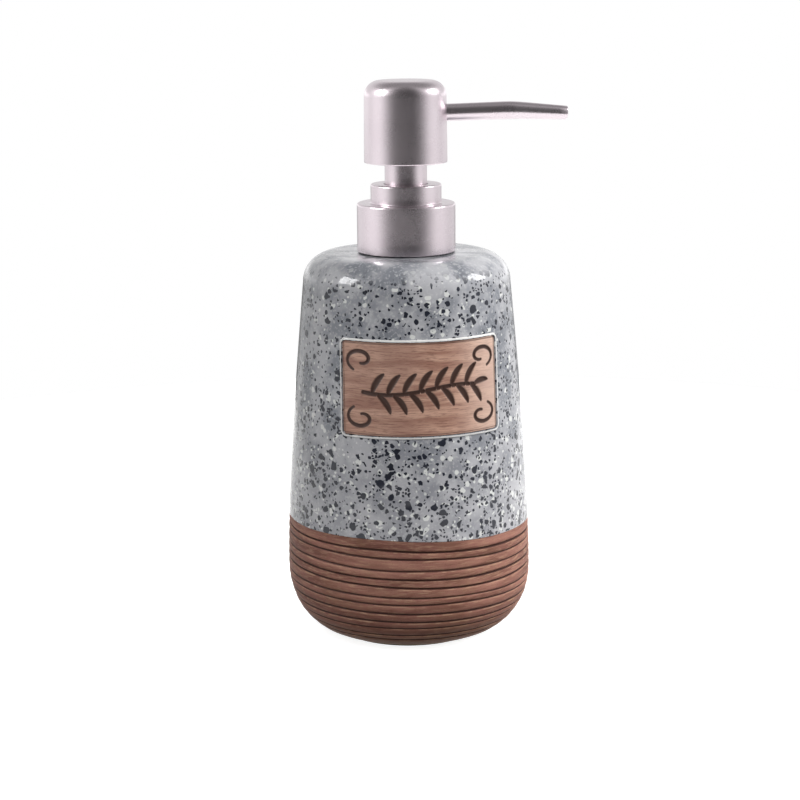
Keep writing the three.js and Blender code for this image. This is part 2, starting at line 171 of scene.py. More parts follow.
def settle(name, bm, finishes, body, node):
    """Makes a bmesh the finished piece that stands for one CAD node."""
    data = bpy.data.meshes.new(name)
    bm.to_mesh(data)
    bm.free()
    for finish in finishes:
        data.materials.append(finish)
    made = bpy.data.objects.new(name, data)
    bpy.context.collection.objects.link(made)
    crisp(made)
    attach(made, body)
    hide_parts(node)
    print(f"{name}: {len(data.polygons)} faces, rides on {body}")
    return made


def crisp(made):
    """Smooth shading, with an edge left crisp where the surface turns by more than CRISP."""
    made.data.shade_smooth()
    made.data.set_sharp_from_angle(angle=CRISP)


# %% Cut or join with a tool mesh
def worked(made, operation, tool):
    """One Boolean of a tool's bmesh, applied at once so that nothing is left live."""
    data = bpy.data.meshes.new("tool")
    tool.to_mesh(data)
    tool.free()
    tool_object = bpy.data.objects.new("tool", data)
    bpy.context.collection.objects.link(tool_object)
    step = made.modifiers.new("work", "BOOLEAN")
    step.operation = operation
    step.solver = "EXACT"
    step.object = tool_object
    shaped = made.evaluated_get(bpy.context.evaluated_depsgraph_get())
    result = bpy.data.meshes.new_from_object(shaped)
    made.modifiers.clear()
    made.data = result
    bpy.data.objects.remove(tool_object)
    crisp(made)
    print(f"{made.name}: {operation.lower()}, now {len(result.polygons)} faces")


# %% [markdown]
# ## Writing finishes as sums
# Every finish here is procedural: noise and cells worked out from a point's place on the
# object. Such a shader is arithmetic, so `Number` wraps a socket and lets Python's operators
# add the Math nodes. `Graph` makes any other node through one method, and `Finish` is the graph
# of one material.


# %% Numbers in a shader
class Number:
    """A number that a shader works out. + - * and comparisons add Math nodes."""

    def __init__(self, graph, socket):
        self.graph = graph
        self.socket = socket

    def maths(self, operation, first, second):
        return self.graph.node("ShaderNodeMath", {"operation": operation}, {0: first, 1: second})

    def __add__(self, other):
        return self.maths("ADD", self, other)

    def __sub__(self, other):
        return self.maths("SUBTRACT", self, other)

    def __rsub__(self, other):
        return self.maths("SUBTRACT", other, self)

    def __mul__(self, other):
        return self.maths("MULTIPLY", self, other)

    def __lt__(self, other):
        return self.maths("LESS_THAN", self, other)

    def either(self, other):
        return self.maths("MAXIMUM", self, other)

    __radd__ = __add__
    __rmul__ = __mul__


# %% Nodes from one method
class Graph:
    """A node tree that is written as sums and calls."""

    def __init__(self, tree):
        self.tree = tree

    def plug(self, socket, value):
        if isinstance(value, Number):
            self.tree.links.new(value.socket, socket)
        else:
            socket.default_value = value

    def node(self, kind, settings=None, inputs=None, output=0):
        made = self.tree.nodes.new(kind)
        for name, value in (settings or {}).items():
            setattr(made, name, value)
        for socket, value in (inputs or {}).items():
            self.plug(made.inputs[socket], value)
        return Number(self, made.outputs[output]) if made.outputs else made

    def vector(self, operation, first, second=(0, 0, 0)):
        return self.node("ShaderNodeVectorMath", {"operation": operation}, {0: first, 1: second})

    def axis(self, vector, letter):
        return self.node("ShaderNodeSeparateXYZ", {}, {0: vector}, letter)

    def between(self, value, low, high):
        """0 below low, 1 above high, and a soft step between."""
        inputs = {"Value": value, "From Min": low, "From Max": high}
        return self.node("ShaderNodeMapRange", {"interpolation_type": "SMOOTHSTEP"}, inputs)


# %% One material and its finish
class Finish(Graph):
    """A material whose constants sit on the shader's own sockets."""

    def __init__(self, name, **constants):
        self.material = bpy.data.materials.new(name)
        self.material.use_nodes = True
        super().__init__(self.material.node_tree)
        self.shader = self.tree.nodes["Principled BSDF"]
        self.done(**constants)
        self.place = self.node("ShaderNodeTexCoord", output="Object")

    def cloud(self, vector, size, detail=2.0, roughness=0.5, output="Fac"):
        """Noise whose lumps are about `size` metres across, from 0 to 1."""
        inputs = {"Vector": vector, "Scale": 1 / size, "Detail": detail, "Roughness": roughness}
        return self.node("ShaderNodeTexNoise", {}, inputs, output)

    def blend(self, share, first, second):
        """The first colour where share is 0 and the second where it is 1."""
        return self.node("ShaderNodeMix", {"data_type": "RGBA"}, {0: share, 6: first, 7: second}, 2)

    def bump(self, height, depth):
        """A normal from a height of 0 to 1 that stands for `depth` metres."""
        return self.node("ShaderNodeBump", {}, {"Height": height, "Distance": depth})

    def done(self, **inputs):
        for socket, value in inputs.items():
            self.plug(self.shader.inputs[socket.replace("_", " ")], value)
        return self.material


def paint(red, green, blue):
    """A colour as it looks on screen, from 0 to 255, in the linear numbers that nodes use."""
    shares = [(c, c / 255) for c in (red, green, blue)]
    linear = [share / 12.92 if c < 10 else ((share + 0.055) / 1.055) ** 2.4 for c, share in shares]
    return (*linear, 1)


print("mid grey is", round(paint(128, 128, 128)[0], 3))

# %% [markdown]
# ## The bottle's outline
# The bottle is thrown on a wheel: a narrow foot, a round belly, a side that leans in
# and a tight shoulder under a flat top. Below the glaze line the potter cut a dozen rings
# into bare clay. The outline could be drawn by hand, but a few arcs and one long curve
# describe it better: a quarter ellipse, a Bezier side and a circular shoulder.

# %% Foot, side and shoulder
FOOT_R = 24.8
FOOT_H = 1.4
FOOT_EDGE = 1.25
BELLY_Z = 22
SHOULDER = (24.5, 117.5)
SHOULDER_R = BOTTLE_TOP - SHOULDER[1]
SIDE_PULL = Vector((40.5, 48))
WALL = 4
GLAZE_LINE = 39.4

foot_curve = arc((FOOT_R, BELLY_Z), (BOTTLE_R - FOOT_R, BELLY_Z - FOOT_H), -90, 0, 60)
side_start = Vector((BOTTLE_R, BELLY_Z))
side_stop = Vector((SHOULDER[0] + SHOULDER_R, SHOULDER[1]))
side_curve = geometry.interpolate_bezier(
    side_start, side_start.lerp(SIDE_PULL, 2 / 3), side_stop.lerp(SIDE_PULL, 2 / 3), side_stop, 90
)
outer_line = foot_curve + [Vector(p[:2]) for p in side_curve[1:]]


def side(z):
    """The plain side's radius at a height, all in millimetres."""
    above = next((i for i, p in enumerate(outer_line) if p.y >= z and i), len(outer_line) - 1)
    low, high = outer_line[above - 1], outer_line[above]
    share = min(max((z - low.y) / (high.y - low.y), 0), 1)
    return low.x + (high.x - low.x) * share


print(f"side at 40, 80 and 110 mm: {side(40):.1f}, {side(80):.1f}, {side(110):.1f} mm")

# %% [markdown]
# ## The cut rings
# Each ring is a shallow groove with soft lips, and the clay between two rings swells a
# little. They are part of the outline, so they are real geometry and catch the light from
# any side. Rings are spaced along the surface, not in height, which is why they crowd
# together towards the foot in a front view. A cutter held by hand drifts a little and
# doesn't press evenly, so each ring's place and depth follow a slow sine.

# %% Walk down the band
RING_COUNT = 12
RING_PITCH = 3.0
RING_HALF = 0.62
RING_DEPTH = 0.55
RING_DRIFT = 0.3
RING_FIRMNESS = 0.15
SWELL = 0.12
BAND_STEP = 0.25
PLAIN_STEPS = 6
GLAZE_THICK = 0.22

below_glaze = [Vector((side(GLAZE_LINE), GLAZE_LINE))]
below_glaze += [p for p in reversed(outer_line) if p.y < GLAZE_LINE]
band_steps = [(b - a).length for a, b in zip(below_glaze, below_glaze[1:])]
BAND_LENGTH = sum(band_steps)


def down_band(distance):
    """The point and the downward direction at a distance below the glaze line."""
    for start, stop, step in zip(below_glaze, below_glaze[1:], band_steps):
        if distance <= step:
            break
        distance -= step
    direction = (stop - start).normalized()
    return start + direction * min(distance, step), direction


def ring_cut(distance):
    """How deep the cut is at a distance below the glaze line: 1 in a ring, 0 between."""
    ring = round(distance / RING_PITCH)
    place = ring * RING_PITCH + RING_DRIFT * math.sin(2.4 * ring)
    off = abs(distance - place) / RING_HALF
    firmness = 1 - RING_FIRMNESS + RING_FIRMNESS * math.sin(1.7 * ring)
    return firmness * math.cos(off * math.pi / 2) ** 2 if 1 <= ring <= RING_COUNT and off < 1 else 0


def band_outline():
    """The band from its lowest ring up to the glaze, with grooves and swells."""
    samples = RING_COUNT * round(RING_PITCH / BAND_STEP) + PLAIN_STEPS
    points = []
    for k in range(samples):
        distance = BAND_STEP * (k + 1)
        point, direction = down_band(distance)
        inward = Vector((direction.y, -direction.x))
        swell = SWELL * abs(math.sin(math.pi * distance / RING_PITCH))
        points.append(point + inward * (GLAZE_THICK + RING_DEPTH * ring_cut(distance) - swell))
    left_over = BAND_LENGTH - BAND_STEP * samples
    points += [down_band(BAND_LENGTH - left_over * (1 - k / 4))[0] for k in range(1, 4)]
    return points[::-1]


print(f"the band is {BAND_LENGTH:.1f} mm long over the surface, outline of {len(band_outline())} points")


# %% [markdown]
# ## The whole outline of the bottle
# The glaze is a glassy coat about a fifth of a millimetre thick, so its lower edge stands
# proud of the bare clay and is rounded by surface tension. The inside follows the outside
# at wall thickness and is closed by the floor, which makes one solid skin with room for
# the soap.

# %% Outside, from the foot's centre to the mouth
GLAZE_EDGE = 0.25
SIDE_STEP = 2.6
MOUTH_R = 12.5
MOUTH_EDGE = 0.8

underside = [Vector(p) for p in [(0, 0), (9, 0), (18, 0)]]
foot_edge = arc((FOOT_R - FOOT_EDGE, FOOT_EDGE), (FOOT_EDGE, FOOT_EDGE), -90, 0, 6)
clay_points = band_outline()
glaze_edge = arc(
    (side(GLAZE_LINE) - GLAZE_THICK, GLAZE_LINE + GLAZE_EDGE), (GLAZE_THICK, GLAZE_EDGE), -90, 0, 4
)
glaze_side = [Vector((side(z), z)) for z in (GLAZE_LINE + k * SIDE_STEP for k in range(1, 30))]
shoulder = arc(SHOULDER, (SHOULDER_R, SHOULDER_R), 0, 90, 14)
top_disc = [Vector((r, BOTTLE_TOP)) for r in (21, 17)] + arc(
    (MOUTH_R + MOUTH_EDGE, BOTTLE_TOP - MOUTH_EDGE), (MOUTH_EDGE, MOUTH_EDGE), 90, 180, 4
)
print(f"glaze starts at {GLAZE_LINE} mm, the mouth is {2 * MOUTH_R:.0f} mm wide")

# %% Inside, from the mouth down to the floor
ROOF_Z = 122
FLOOR_Z = 5
INNER_SHOULDER_R = 21.5
INNER_ROUND = 9
CORNER_WIDE = 11
CORNER_TALL = 14

inside = [Vector((MOUTH_R, ROOF_Z))]
inside += arc((INNER_SHOULDER_R, ROOF_Z - INNER_ROUND), (INNER_ROUND, INNER_ROUND), 90, 8, 6)
inside += [Vector((side(z) - WALL, z)) for z in (105, 90, 78, 66, 55, 44, 30)]
inside += arc(
    (BOTTLE_R - WALL - CORNER_WIDE, FLOOR_Z + CORNER_TALL), (CORNER_WIDE, CORNER_TALL), 0, -90, 8
)
inside += [Vector((0, FLOOR_Z))]

outline = underside + foot_edge + clay_points
clay_count = len(outline)
outline += glaze_edge + glaze_side + shoulder + top_disc + inside
print(f"outline: {clay_count} points of clay, {len(outline) - clay_count} of glaze")

# %% [markdown]
# ## A slab that wraps round the side
# The plaque, its pocket and the raised rim of glaze round it are the same shape at three
# sizes: a flat slab with rounded corners and soft upper edges, bent round the bottle.
# A Simple Deform modifier bends to a cylinder, but this side also leans and curves.
# So the slab is cut into cells with `bisect_plane`, and each vertex is set against the side's
# own outline. Widths are measured along the surface, which keeps the ends upright.

# %% Make and wrap a slab
PLAQUE_LOW, PLAQUE_HIGH = (corner.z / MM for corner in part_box("label_plaque"))
PLAQUE_MID = (PLAQUE_LOW + PLAQUE_HIGH) / 2
PLAQUE_WIDE = 53.6
PLAQUE_TALL = PLAQUE_HIGH - PLAQUE_LOW
PLAQUE_CORNER = 1.2
PLAQUE_THICK = 1.4
UPRIGHT = Vector((0, 0, 1))


def slab(grow, low, high, edge, cell):
    """A flat slab in millimetres: X along the surface, Y up, Z outwards from the side."""
    bm = bmesh.new()
    size = (PLAQUE_WIDE + 2 * grow, PLAQUE_TALL + 2 * grow, high - low)
    bmesh.ops.create_cube(bm, size=1, matrix=Matrix.Diagonal((*size, 1)))
    bmesh.ops.translate(bm, vec=(0, 0, (low + high) / 2), verts=bm.verts)
    upright = [e for e in bm.edges if abs((e.verts[0].co - e.verts[1].co).normalized().z) > 0.9]
    soften(bm, upright, PLAQUE_CORNER + grow, 5)
    front = [f for f in bm.faces if f.normal.z > 0.9]
    soften(bm, [e for f in front for e in f.edges], edge, 3)
    for axis, length in enumerate(size[:2]):
        cuts = max(round(length / cell), 1)
        for k in range(1, cuts):
            place = Vector((0, 0, 0))
            place[axis] = length * (k / cuts - 0.5)
            across = Vector((axis == 0, axis == 1, 0))
            whole = bm.verts[:] + bm.edges[:] + bm.faces[:]
            bmesh.ops.bisect_plane(bm, geom=whole, dist=1e-4, plane_co=place, plane_no=across)
    return bm


def soften(bm, edges, width, segments):
    """A round bevel on some edges."""
    bmesh.ops.bevel(
        bm, geom=edges, offset=width, offset_type="OFFSET", segments=segments,
        profile=0.5, affect="EDGES", material=-1,
    )


def wrap(bm):
    """Bends a slab round the bottle's front, in place."""
    for vert in bm.verts:
        along, up, out = vert.co
        z = PLAQUE_MID + up
        angle = along / side(z) - math.pi / 2
        radius = side(z) + out
        vert.co = Vector((radius * math.cos(angle), radius * math.sin(angle), z)) * MM
    bmesh.ops.recalc_face_normals(bm, faces=bm.faces)
    return bm


print(f"plaque: {PLAQUE_WIDE:.1f} x {PLAQUE_TALL:.1f} mm, from {PLAQUE_LOW:.1f} mm up")

# %% [markdown]
# ## Finish: speckled glaze
# The glaze is a glossy stone grey with angular dark chips and soft pale ones under the
# surface, closer together towards the band. Painted dots would look scattered by hand.
# Voronoi cells give the angular chips: each cell draws a lot, and only a share of the cells is
# coloured. Two sizes of round pale spot lie lowest, then one of pale chip and three of dark.
# The dark chips stop short of the flat top, where the pale ones are faint.
# The gloss is even, with a very slight waviness.


# %% Chips and spots
CHIP_GAP = 0.08
CHIP_RIM = 0.06
SPOT_R = 0.34
SPOT_RIM = 0.12


def chips(finish, place, size, share):
    """1 on a share of the cells about `size` across, with a gap kept round each blunt chip."""
    inputs = {"Vector": place, "Scale": 1 / size}
    colour = finish.node("ShaderNodeTexVoronoi", {"feature": "F1"}, inputs, "Color")
    away = finish.node("ShaderNodeTexVoronoi", {"feature": "F1"}, inputs, "Distance")
    rim = finish.node("ShaderNodeTexVoronoi", {"feature": "DISTANCE_TO_EDGE"}, inputs, "Distance")
    blunt = 1 - finish.between(away, 0.5, 0.58)
    inner = finish.between(rim, CHIP_GAP, CHIP_GAP + CHIP_RIM)
    return (finish.axis(colour, "X") < share) * inner * blunt


def spots(finish, place, size, share):
    """1 inside round spots on a share of the cells about `size` across."""
    inputs = {"Vector": place, "Scale": 1 / size}
    colour = finish.node("ShaderNodeTexVoronoi", {"feature": "F1"}, inputs, "Color")
    away = finish.node("ShaderNodeTexVoronoi", {"feature": "F1"}, inputs, "Distance")
    return (finish.axis(colour, "Y") < share) * (1 - finish.between(away, SPOT_R - SPOT_RIM, SPOT_R))


# %% Speckled glaze
def speckled_glaze():
    """Glossy grey glaze with pale spots and dark chips."""
    glaze = Finish("speckled glaze", IOR=1.42)
    height = glaze.axis(glaze.place, "Z")
    low_zone = 1 - glaze.between(height, 45 * MM, 85 * MM)
    below_top = 1 - glaze.between(height, 119 * MM, 125.5 * MM)
    bend = glaze.vector("MULTIPLY", glaze.cloud(glaze.place, 1.6 * MM, output="Color"), (0.7 * MM,) * 3)
    place = glaze.vector("ADD", glaze.place, bend)
    crowd = glaze.between(glaze.cloud(glaze.place, 11 * MM, 1.0), 0.35, 0.65)

    tint = glaze.cloud(glaze.place, 9 * MM, 3.0)
    ground = glaze.blend(glaze.between(tint, 0.35, 0.65), paint(124, 127, 134), paint(176, 176, 180))
    ground = glaze.blend(low_zone * 0.35, ground, paint(174, 172, 177))
    flour = glaze.between(glaze.cloud(place, 0.9 * MM, 2.0), 0.52, 0.68)
    ground = glaze.blend(flour * 0.45, ground, paint(198, 198, 199))

    pale = spots(glaze, place, 2.9 * MM, 0.13 + 0.12 * low_zone).either(
        spots(glaze, place, 1.6 * MM, 0.16 + 0.22 * low_zone)
    )
    pale = pale.either(chips(glaze, place, 2.05 * MM, 0.07 + 0.15 * low_zone))
    with_pale = glaze.blend(pale * (0.25 + 0.6 * below_top), ground, paint(220, 221, 218))
    slate = glaze.blend(glaze.cloud(place, 3 * MM), paint(10, 12, 22), paint(38, 42, 56))
    dark = chips(glaze, place, 2.8 * MM, 0.07 + 0.16 * low_zone)
    dark = dark.either(chips(glaze, place, 1.7 * MM, 0.08 + 0.16 * crowd + 0.10 * low_zone))
    dark = dark.either(chips(glaze, place, 1.0 * MM, 0.12 + 0.16 * crowd + 0.08 * low_zone))
    colour = glaze.blend(dark * below_top * 0.98, with_pale, slate)
    # The raised rim round the plaque is painted pale: partly pale glaze on its edge, partly a painted
    # highlight along it.
    lip = glaze.node("ShaderNodeAttribute", {"attribute_name": "lip"}, {}, "Fac")
    colour = glaze.blend(glaze.between(lip, 0.1, 0.6) * 0.9, colour, paint(226, 225, 222))

    waves = glaze.cloud(glaze.place, 6 * MM, 1.5)
    return glaze.done(
        Base_Color=colour,
        Roughness=0.07 + 0.07 * glaze.cloud(glaze.place, 4 * MM),
        Normal=glaze.bump(waves, 0.3 * MM),
    )


# %% [markdown]
# ## Finish: bare clay
# The band is bare clay rubbed with a brown stain. The stain stays dark in the cut rings,
# wears thin on the ridges and leaves streaks that run round the wheel's way. The pale line along
# each ring's lips is that wear and a painted highlight.
# Each vertex carries a mark for how deep in a ring it is, so colour and shape agree exactly.
# Streaks come from noise that is stretched sideways by shrinking X and Y.


# %% Stained clay
def bare_clay():
    """Bare clay, rubbed with a stain that stays in the rings."""
    clay = Finish("stained clay", Specular_IOR_Level=0.12)
    height = clay.axis(clay.place, "Z")
    cut = clay.node("ShaderNodeAttribute", {"attribute_name": "cut"}, {}, "Fac")
    ringwise = clay.vector("MULTIPLY", clay.place, (0.12, 0.12, 1.0))
    broad = clay.cloud(ringwise, 3.2 * MM, 4.0, 0.6)
    fine = clay.cloud(ringwise, 0.5 * MM, 3.0, 0.65)
    grain = clay.cloud(clay.place, 0.35 * MM, 2.0)
    mottle = clay.cloud(clay.place, 14 * MM, 2.0)

    colour = clay.blend(clay.between(broad, 0.3, 0.7), paint(112, 74, 65), paint(164, 117, 103))
    colour = clay.blend(clay.between(fine, 0.45, 0.75) * 0.5, colour, paint(194, 156, 128))
    colour = clay.blend(clay.between(mottle, 0.45, 0.7) * 0.3, colour, paint(124, 94, 70))
    colour = clay.blend(clay.between(grain, 0.55, 0.75) * 0.35, colour, paint(98, 62, 55))
    colour = clay.blend((1 - clay.between(height, 8 * MM, 27 * MM)) * 0.4, colour, paint(100, 62, 54))
    near_foot = 1 - clay.between(height, 3 * MM, 13 * MM)
    colour = clay.blend(near_foot * 0.4, colour, paint(96, 76, 50))
    # Pale line along each ring's lips: partly worn stain, partly a painted highlight where the lips catch
    # the light.
    lip_wear_and_highlight = clay.between(cut, 0.0, 0.1) * (1 - clay.between(cut, 0.12, 0.35))
    lip_wear_and_highlight = lip_wear_and_highlight * clay.between(fine, 0.4, 0.6)
    colour = clay.blend(lip_wear_and_highlight * 0.45, colour, paint(198, 164, 134))
    pale_line = clay.between(height, 1.6 * MM, 2.0 * MM) * (1 - clay.between(height, 2.3 * MM, 2.9 * MM))
    colour = clay.blend(pale_line * 0.5, colour, paint(178, 160, 116))
    # The thin dark band at the very foot is a painted contact shadow.
    colour = clay.blend(1 - clay.between(height, 1.1 * MM, 1.7 * MM), colour, paint(58, 42, 32))
    colour = clay.blend(clay.between(cut, 0.12, 0.6) * (0.8 + 0.2 * broad), colour, paint(42, 24, 22))

    relief = 0.5 * fine + 0.3 * grain + 0.2 * broad
    return clay.done(
        Base_Color=colour,
        Roughness=0.5 + 0.2 * grain,
        Normal=clay.bump(relief, 0.18 * MM),
    )


glaze_finish = speckled_glaze()
clay_finish = bare_clay()
for finish in (glaze_finish, clay_finish):
    print(finish.name, "has", len(finish.node_tree.nodes), "nodes")

# %% [markdown]
# ## The bottle
# The outline is spun in 160 steps, fine enough for its gloss. The outer points of the band
# get a mark for how deep in a ring they lie. Then the rim slab is joined on, which leaves
# its own mark for the rim's pale colour there, partly pale glaze and partly a painted highlight, and the
# pocket is cut out.

# %% Spin the bottle
BOTTLE_STEPS = 160

bm = turned(outline, BOTTLE_STEPS)
print("bottle spun:", len(bm.faces), "faces")

# %% Mark the rings and part clay from glaze
FOOT_CLAY_Z = 0.9

cut_mark = bm.verts.layers.float.new("cut")
for vert in bm.verts:
    radius, z = math.hypot(vert.co.x, vert.co.y) / MM, vert.co.z / MM
    if z < GLAZE_LINE and radius > FOOT_R:
        vert[cut_mark] = min(max((side(z) - GLAZE_THICK - radius) / RING_DEPTH, 0), 1)
for face in bm.faces:
    middle = face.calc_center_median() / MM
    radius = math.hypot(middle.x, middle.y)
    below = middle.z < GLAZE_LINE - 0.05 and radius > side(max(middle.z, FOOT_H + 0.1)) - WALL / 2
    face.material_index = 1 if below or middle.z < FOOT_CLAY_Z else 0
bottle = settle(
    "glazed_bottle", bm, [glaze_finish, clay_finish], "bottle", "ceramic_bottle"
)

# %% Join the rim and cut the pocket
RIM_WIDE = 0.9
RIM_HIGH = 0.45
RIM_ROUND = 0.42
POCKET_PLAY = 0.12
POCKET_DEEPER = 0.3
COARSE_CELL = 2.7

worked(bottle, "UNION", wrap(slab(RIM_WIDE, -WALL / 2, RIM_HIGH, RIM_ROUND, COARSE_CELL)))
# Marks the rim for its pale colour, which is partly pale glaze and partly a painted highlight.
rim_glaze_and_highlight_mark = bottle.data.attributes.new("lip", "FLOAT", "POINT")
for vert, mark in zip(bottle.data.vertices, rim_glaze_and_highlight_mark.data):
    proud = math.hypot(vert.co.x, vert.co.y) / MM - side(min(vert.co.z / MM, SHOULDER[1]))
    mark.value = min(max(proud / 0.4, 0), 1) if PLAQUE_LOW - 2 < vert.co.z / MM < PLAQUE_HIGH + 2 else 0
pocket = slab(POCKET_PLAY, -PLAQUE_THICK - POCKET_DEEPER, WALL, 0.01, COARSE_CELL)
worked(bottle, "DIFFERENCE", wrap(pocket))

# %% [markdown]
# ## The wheel's unevenness
# No hand-finished band is perfectly level. The glaze line dips towards one side and
# wanders a little, and the rings wander with it. So the vertices near the line are lifted
# or lowered, fading to nothing at the plaque above and at the foot below.

# %% Tilt the glaze line and waver the rings
TILT = 1.1
WAVER = 0.35
WAVER_FULL = (30, 42)
WAVER_GONE = 66


def waver(point):
    """How far a point of the bottle moves up, in millimetres."""
    z = point.z / MM
    angle = math.atan2(point.y, point.x)
    rising = min(max(z / WAVER_FULL[0], 0), 1)
    fade = rising * min(max((WAVER_GONE - z) / (WAVER_GONE - WAVER_FULL[1]), 0), 1)
    round_noise = noise.noise(Vector((math.cos(angle) * 1.3, math.sin(angle) * 1.3, z * 0.16)))
    return fade * (WAVER * round_noise * 2 - TILT * math.cos(angle))


for vert in bottle.data.vertices:
    vert.co.z += waver(vert.co) * MM
bottle.data.update()
print("glazed_bottle: the glaze line now runs out of level")

# %% [markdown]
# ## The carved sprig
# The plaque carries a plain leafy sprig between corner curls, cut with a round gouge.
# Each stroke is a smooth curve with a width at every point, widest in the middle of a leaf.
# A tree of the strokes' points (`kdtree`) finds the nearest one to each vertex of the plaque,
# and the vertex sinks by a rounded profile. Stain gathers in and beside the cut, so each
# vertex also gets a mark for it, which is a little wider than the cut itself.


# %% A leaf is one stroke of the gouge
LEAF_POINTS = 60
LEAF_BOW = 0.12
LEAF_TIP = 0.12
LEAF_HALF = 1.1


def leaf(foot, angle, length, widest=LEAF_HALF):
    """A pointed leaf: points (along, up) down its cut, each with the cut's half width."""
    foot = Vector((*foot, 0))
    reach = Matrix.Rotation(math.radians(angle), 3, "Z") @ Vector((length, 0, 0))
    aside = Vector((-reach.y, reach.x, 0)) * LEAF_BOW
    knots = (foot, foot + reach * 0.3 + aside, foot + reach * 0.7 + aside, foot + reach)
    points = geometry.interpolate_bezier(*knots, LEAF_POINTS)
    swell = [math.sin(math.pi * k / (LEAF_POINTS - 1)) ** 0.7 for k in range(LEAF_POINTS)]
    return [(p, widest * (LEAF_TIP + (1 - LEAF_TIP) * full)) for p, full in zip(points, swell)]


# %% A curl winds in on itself
CURL_POINTS = 80
CURL_INSET = Vector((6.6, 5.6))
CURL_START = -60
CURL_TURNED = 330
CURL_REACH = 4.4
CURL_WINDS_IN = 3.0
CURL_WIDE, CURL_TALL = 1.2, 0.85
CURL_HALF = 0.3


def curl(x_side, y_side):
    """A plain curl that winds in, in one corner of the plaque."""
    middle = Vector((PLAQUE_WIDE / 2, PLAQUE_TALL / 2)) - CURL_INSET
    points = []
    for k in range(CURL_POINTS):
        share = k / (CURL_POINTS - 1)
        turn = math.radians(CURL_START + CURL_TURNED * share)
        reach = CURL_REACH - CURL_WINDS_IN * share
        x = middle.x + CURL_WIDE * reach * math.cos(turn)
        y = middle.y + CURL_TALL * reach * math.sin(turn)
        points.append((Vector((x * x_side, y * y_side, 0)), CURL_HALF * (1 + math.sin(math.pi * share))))
    return points


# %% Stem, leaves and curls
STEM_START = -19.5
STEM_STOP = 17.5
STEM_HALF = 0.62
STEM_STEPS = 160
LEAF_PAIRS = 7
LEAF_START = -16.5
LEAF_GAP = 5.1
LEAF_STAGGER = 1.6


def stem_height(along):
    """The stem's slow wave across the plaque."""
    return 1.3 * math.sin(along / 7.5) - 0.4


strokes = [curl(a, b) for a in (-1, 1) for b in (-1, 1)]
stem_steps = [STEM_START + (STEM_STOP - STEM_START) * k / STEM_STEPS for k in range(STEM_STEPS + 1)]
strokes.append([(Vector((x, stem_height(x), 0)), STEM_HALF) for x in stem_steps])
for pair in range(LEAF_PAIRS):
    upper = LEAF_START + LEAF_GAP * pair
    lower = upper + LEAF_STAGGER
    strokes.append(leaf((upper, stem_height(upper)), 58, 7.4))
    strokes.append(leaf((lower, stem_height(lower)), -54, 7.2))
TIP_LEAF = 17.3
strokes.append(leaf((TIP_LEAF, stem_height(TIP_LEAF)), 8, 5.6, 1.0))
print(len(strokes), "strokes on the plaque")

# %% Cut the strokes
CARVE_DEPTH = 0.55
FULL_CUT_HALF = 0.7
STAIN_SPREAD = 0.35
BORDER_IN = 0.55
BORDER_HALF = 0.3
BORDER_DEPTH = 0.08
BACK_FACE = -0.4


def carved(bm):
    """Sinks the flat plaque's front along the strokes and marks how deep each vertex lies."""
    points = [sample for one in strokes for sample in one]
    tree = kdtree.KDTree(len(points))
    for k, (point, _) in enumerate(points):
        tree.insert(point, k)
    tree.balance()
    stain = bm.verts.layers.float.new("stain")
    for vert in bm.verts:
        if vert.co.z < BACK_FACE:
            continue
        flat = Vector((vert.co.x, vert.co.y, 0))
        _, k, away = tree.find(flat)
        half_width = points[k][1]
        depth = max(0, 1 - (away / half_width) ** 2)
        soft = max(0, 1 - (away / (half_width + STAIN_SPREAD)))
        inset = min(PLAQUE_WIDE / 2 - abs(flat.x), PLAQUE_TALL / 2 - abs(flat.y))
        line = max(0, 1 - abs(inset - BORDER_IN) / BORDER_HALF)
        vert[stain] = max(min(soft * 1.6, 1), line * 0.8)
        firm = CARVE_DEPTH * min(half_width / FULL_CUT_HALF, 1)
        vert.co.z -= firm * depth ** 0.7 + BORDER_DEPTH * line
    return bm


# %% [markdown]
# ## Finish: wood tone
# The plaque is clay coloured to look like oiled wood: grain runs along it in long pale and
# dark streaks, and the brown stain lies in the carving. The grain's noise is measured round the
# bottle with `atan2`, so it follows the plaque. The seam of that angle lies at the back,
# where there is no plaque. The right-hand end is painted paler than the left, a painted highlight of the
# light from the right.


# %% Carved wood tone
PLAQUE_R = 38
GRAIN_STRETCH = 0.09


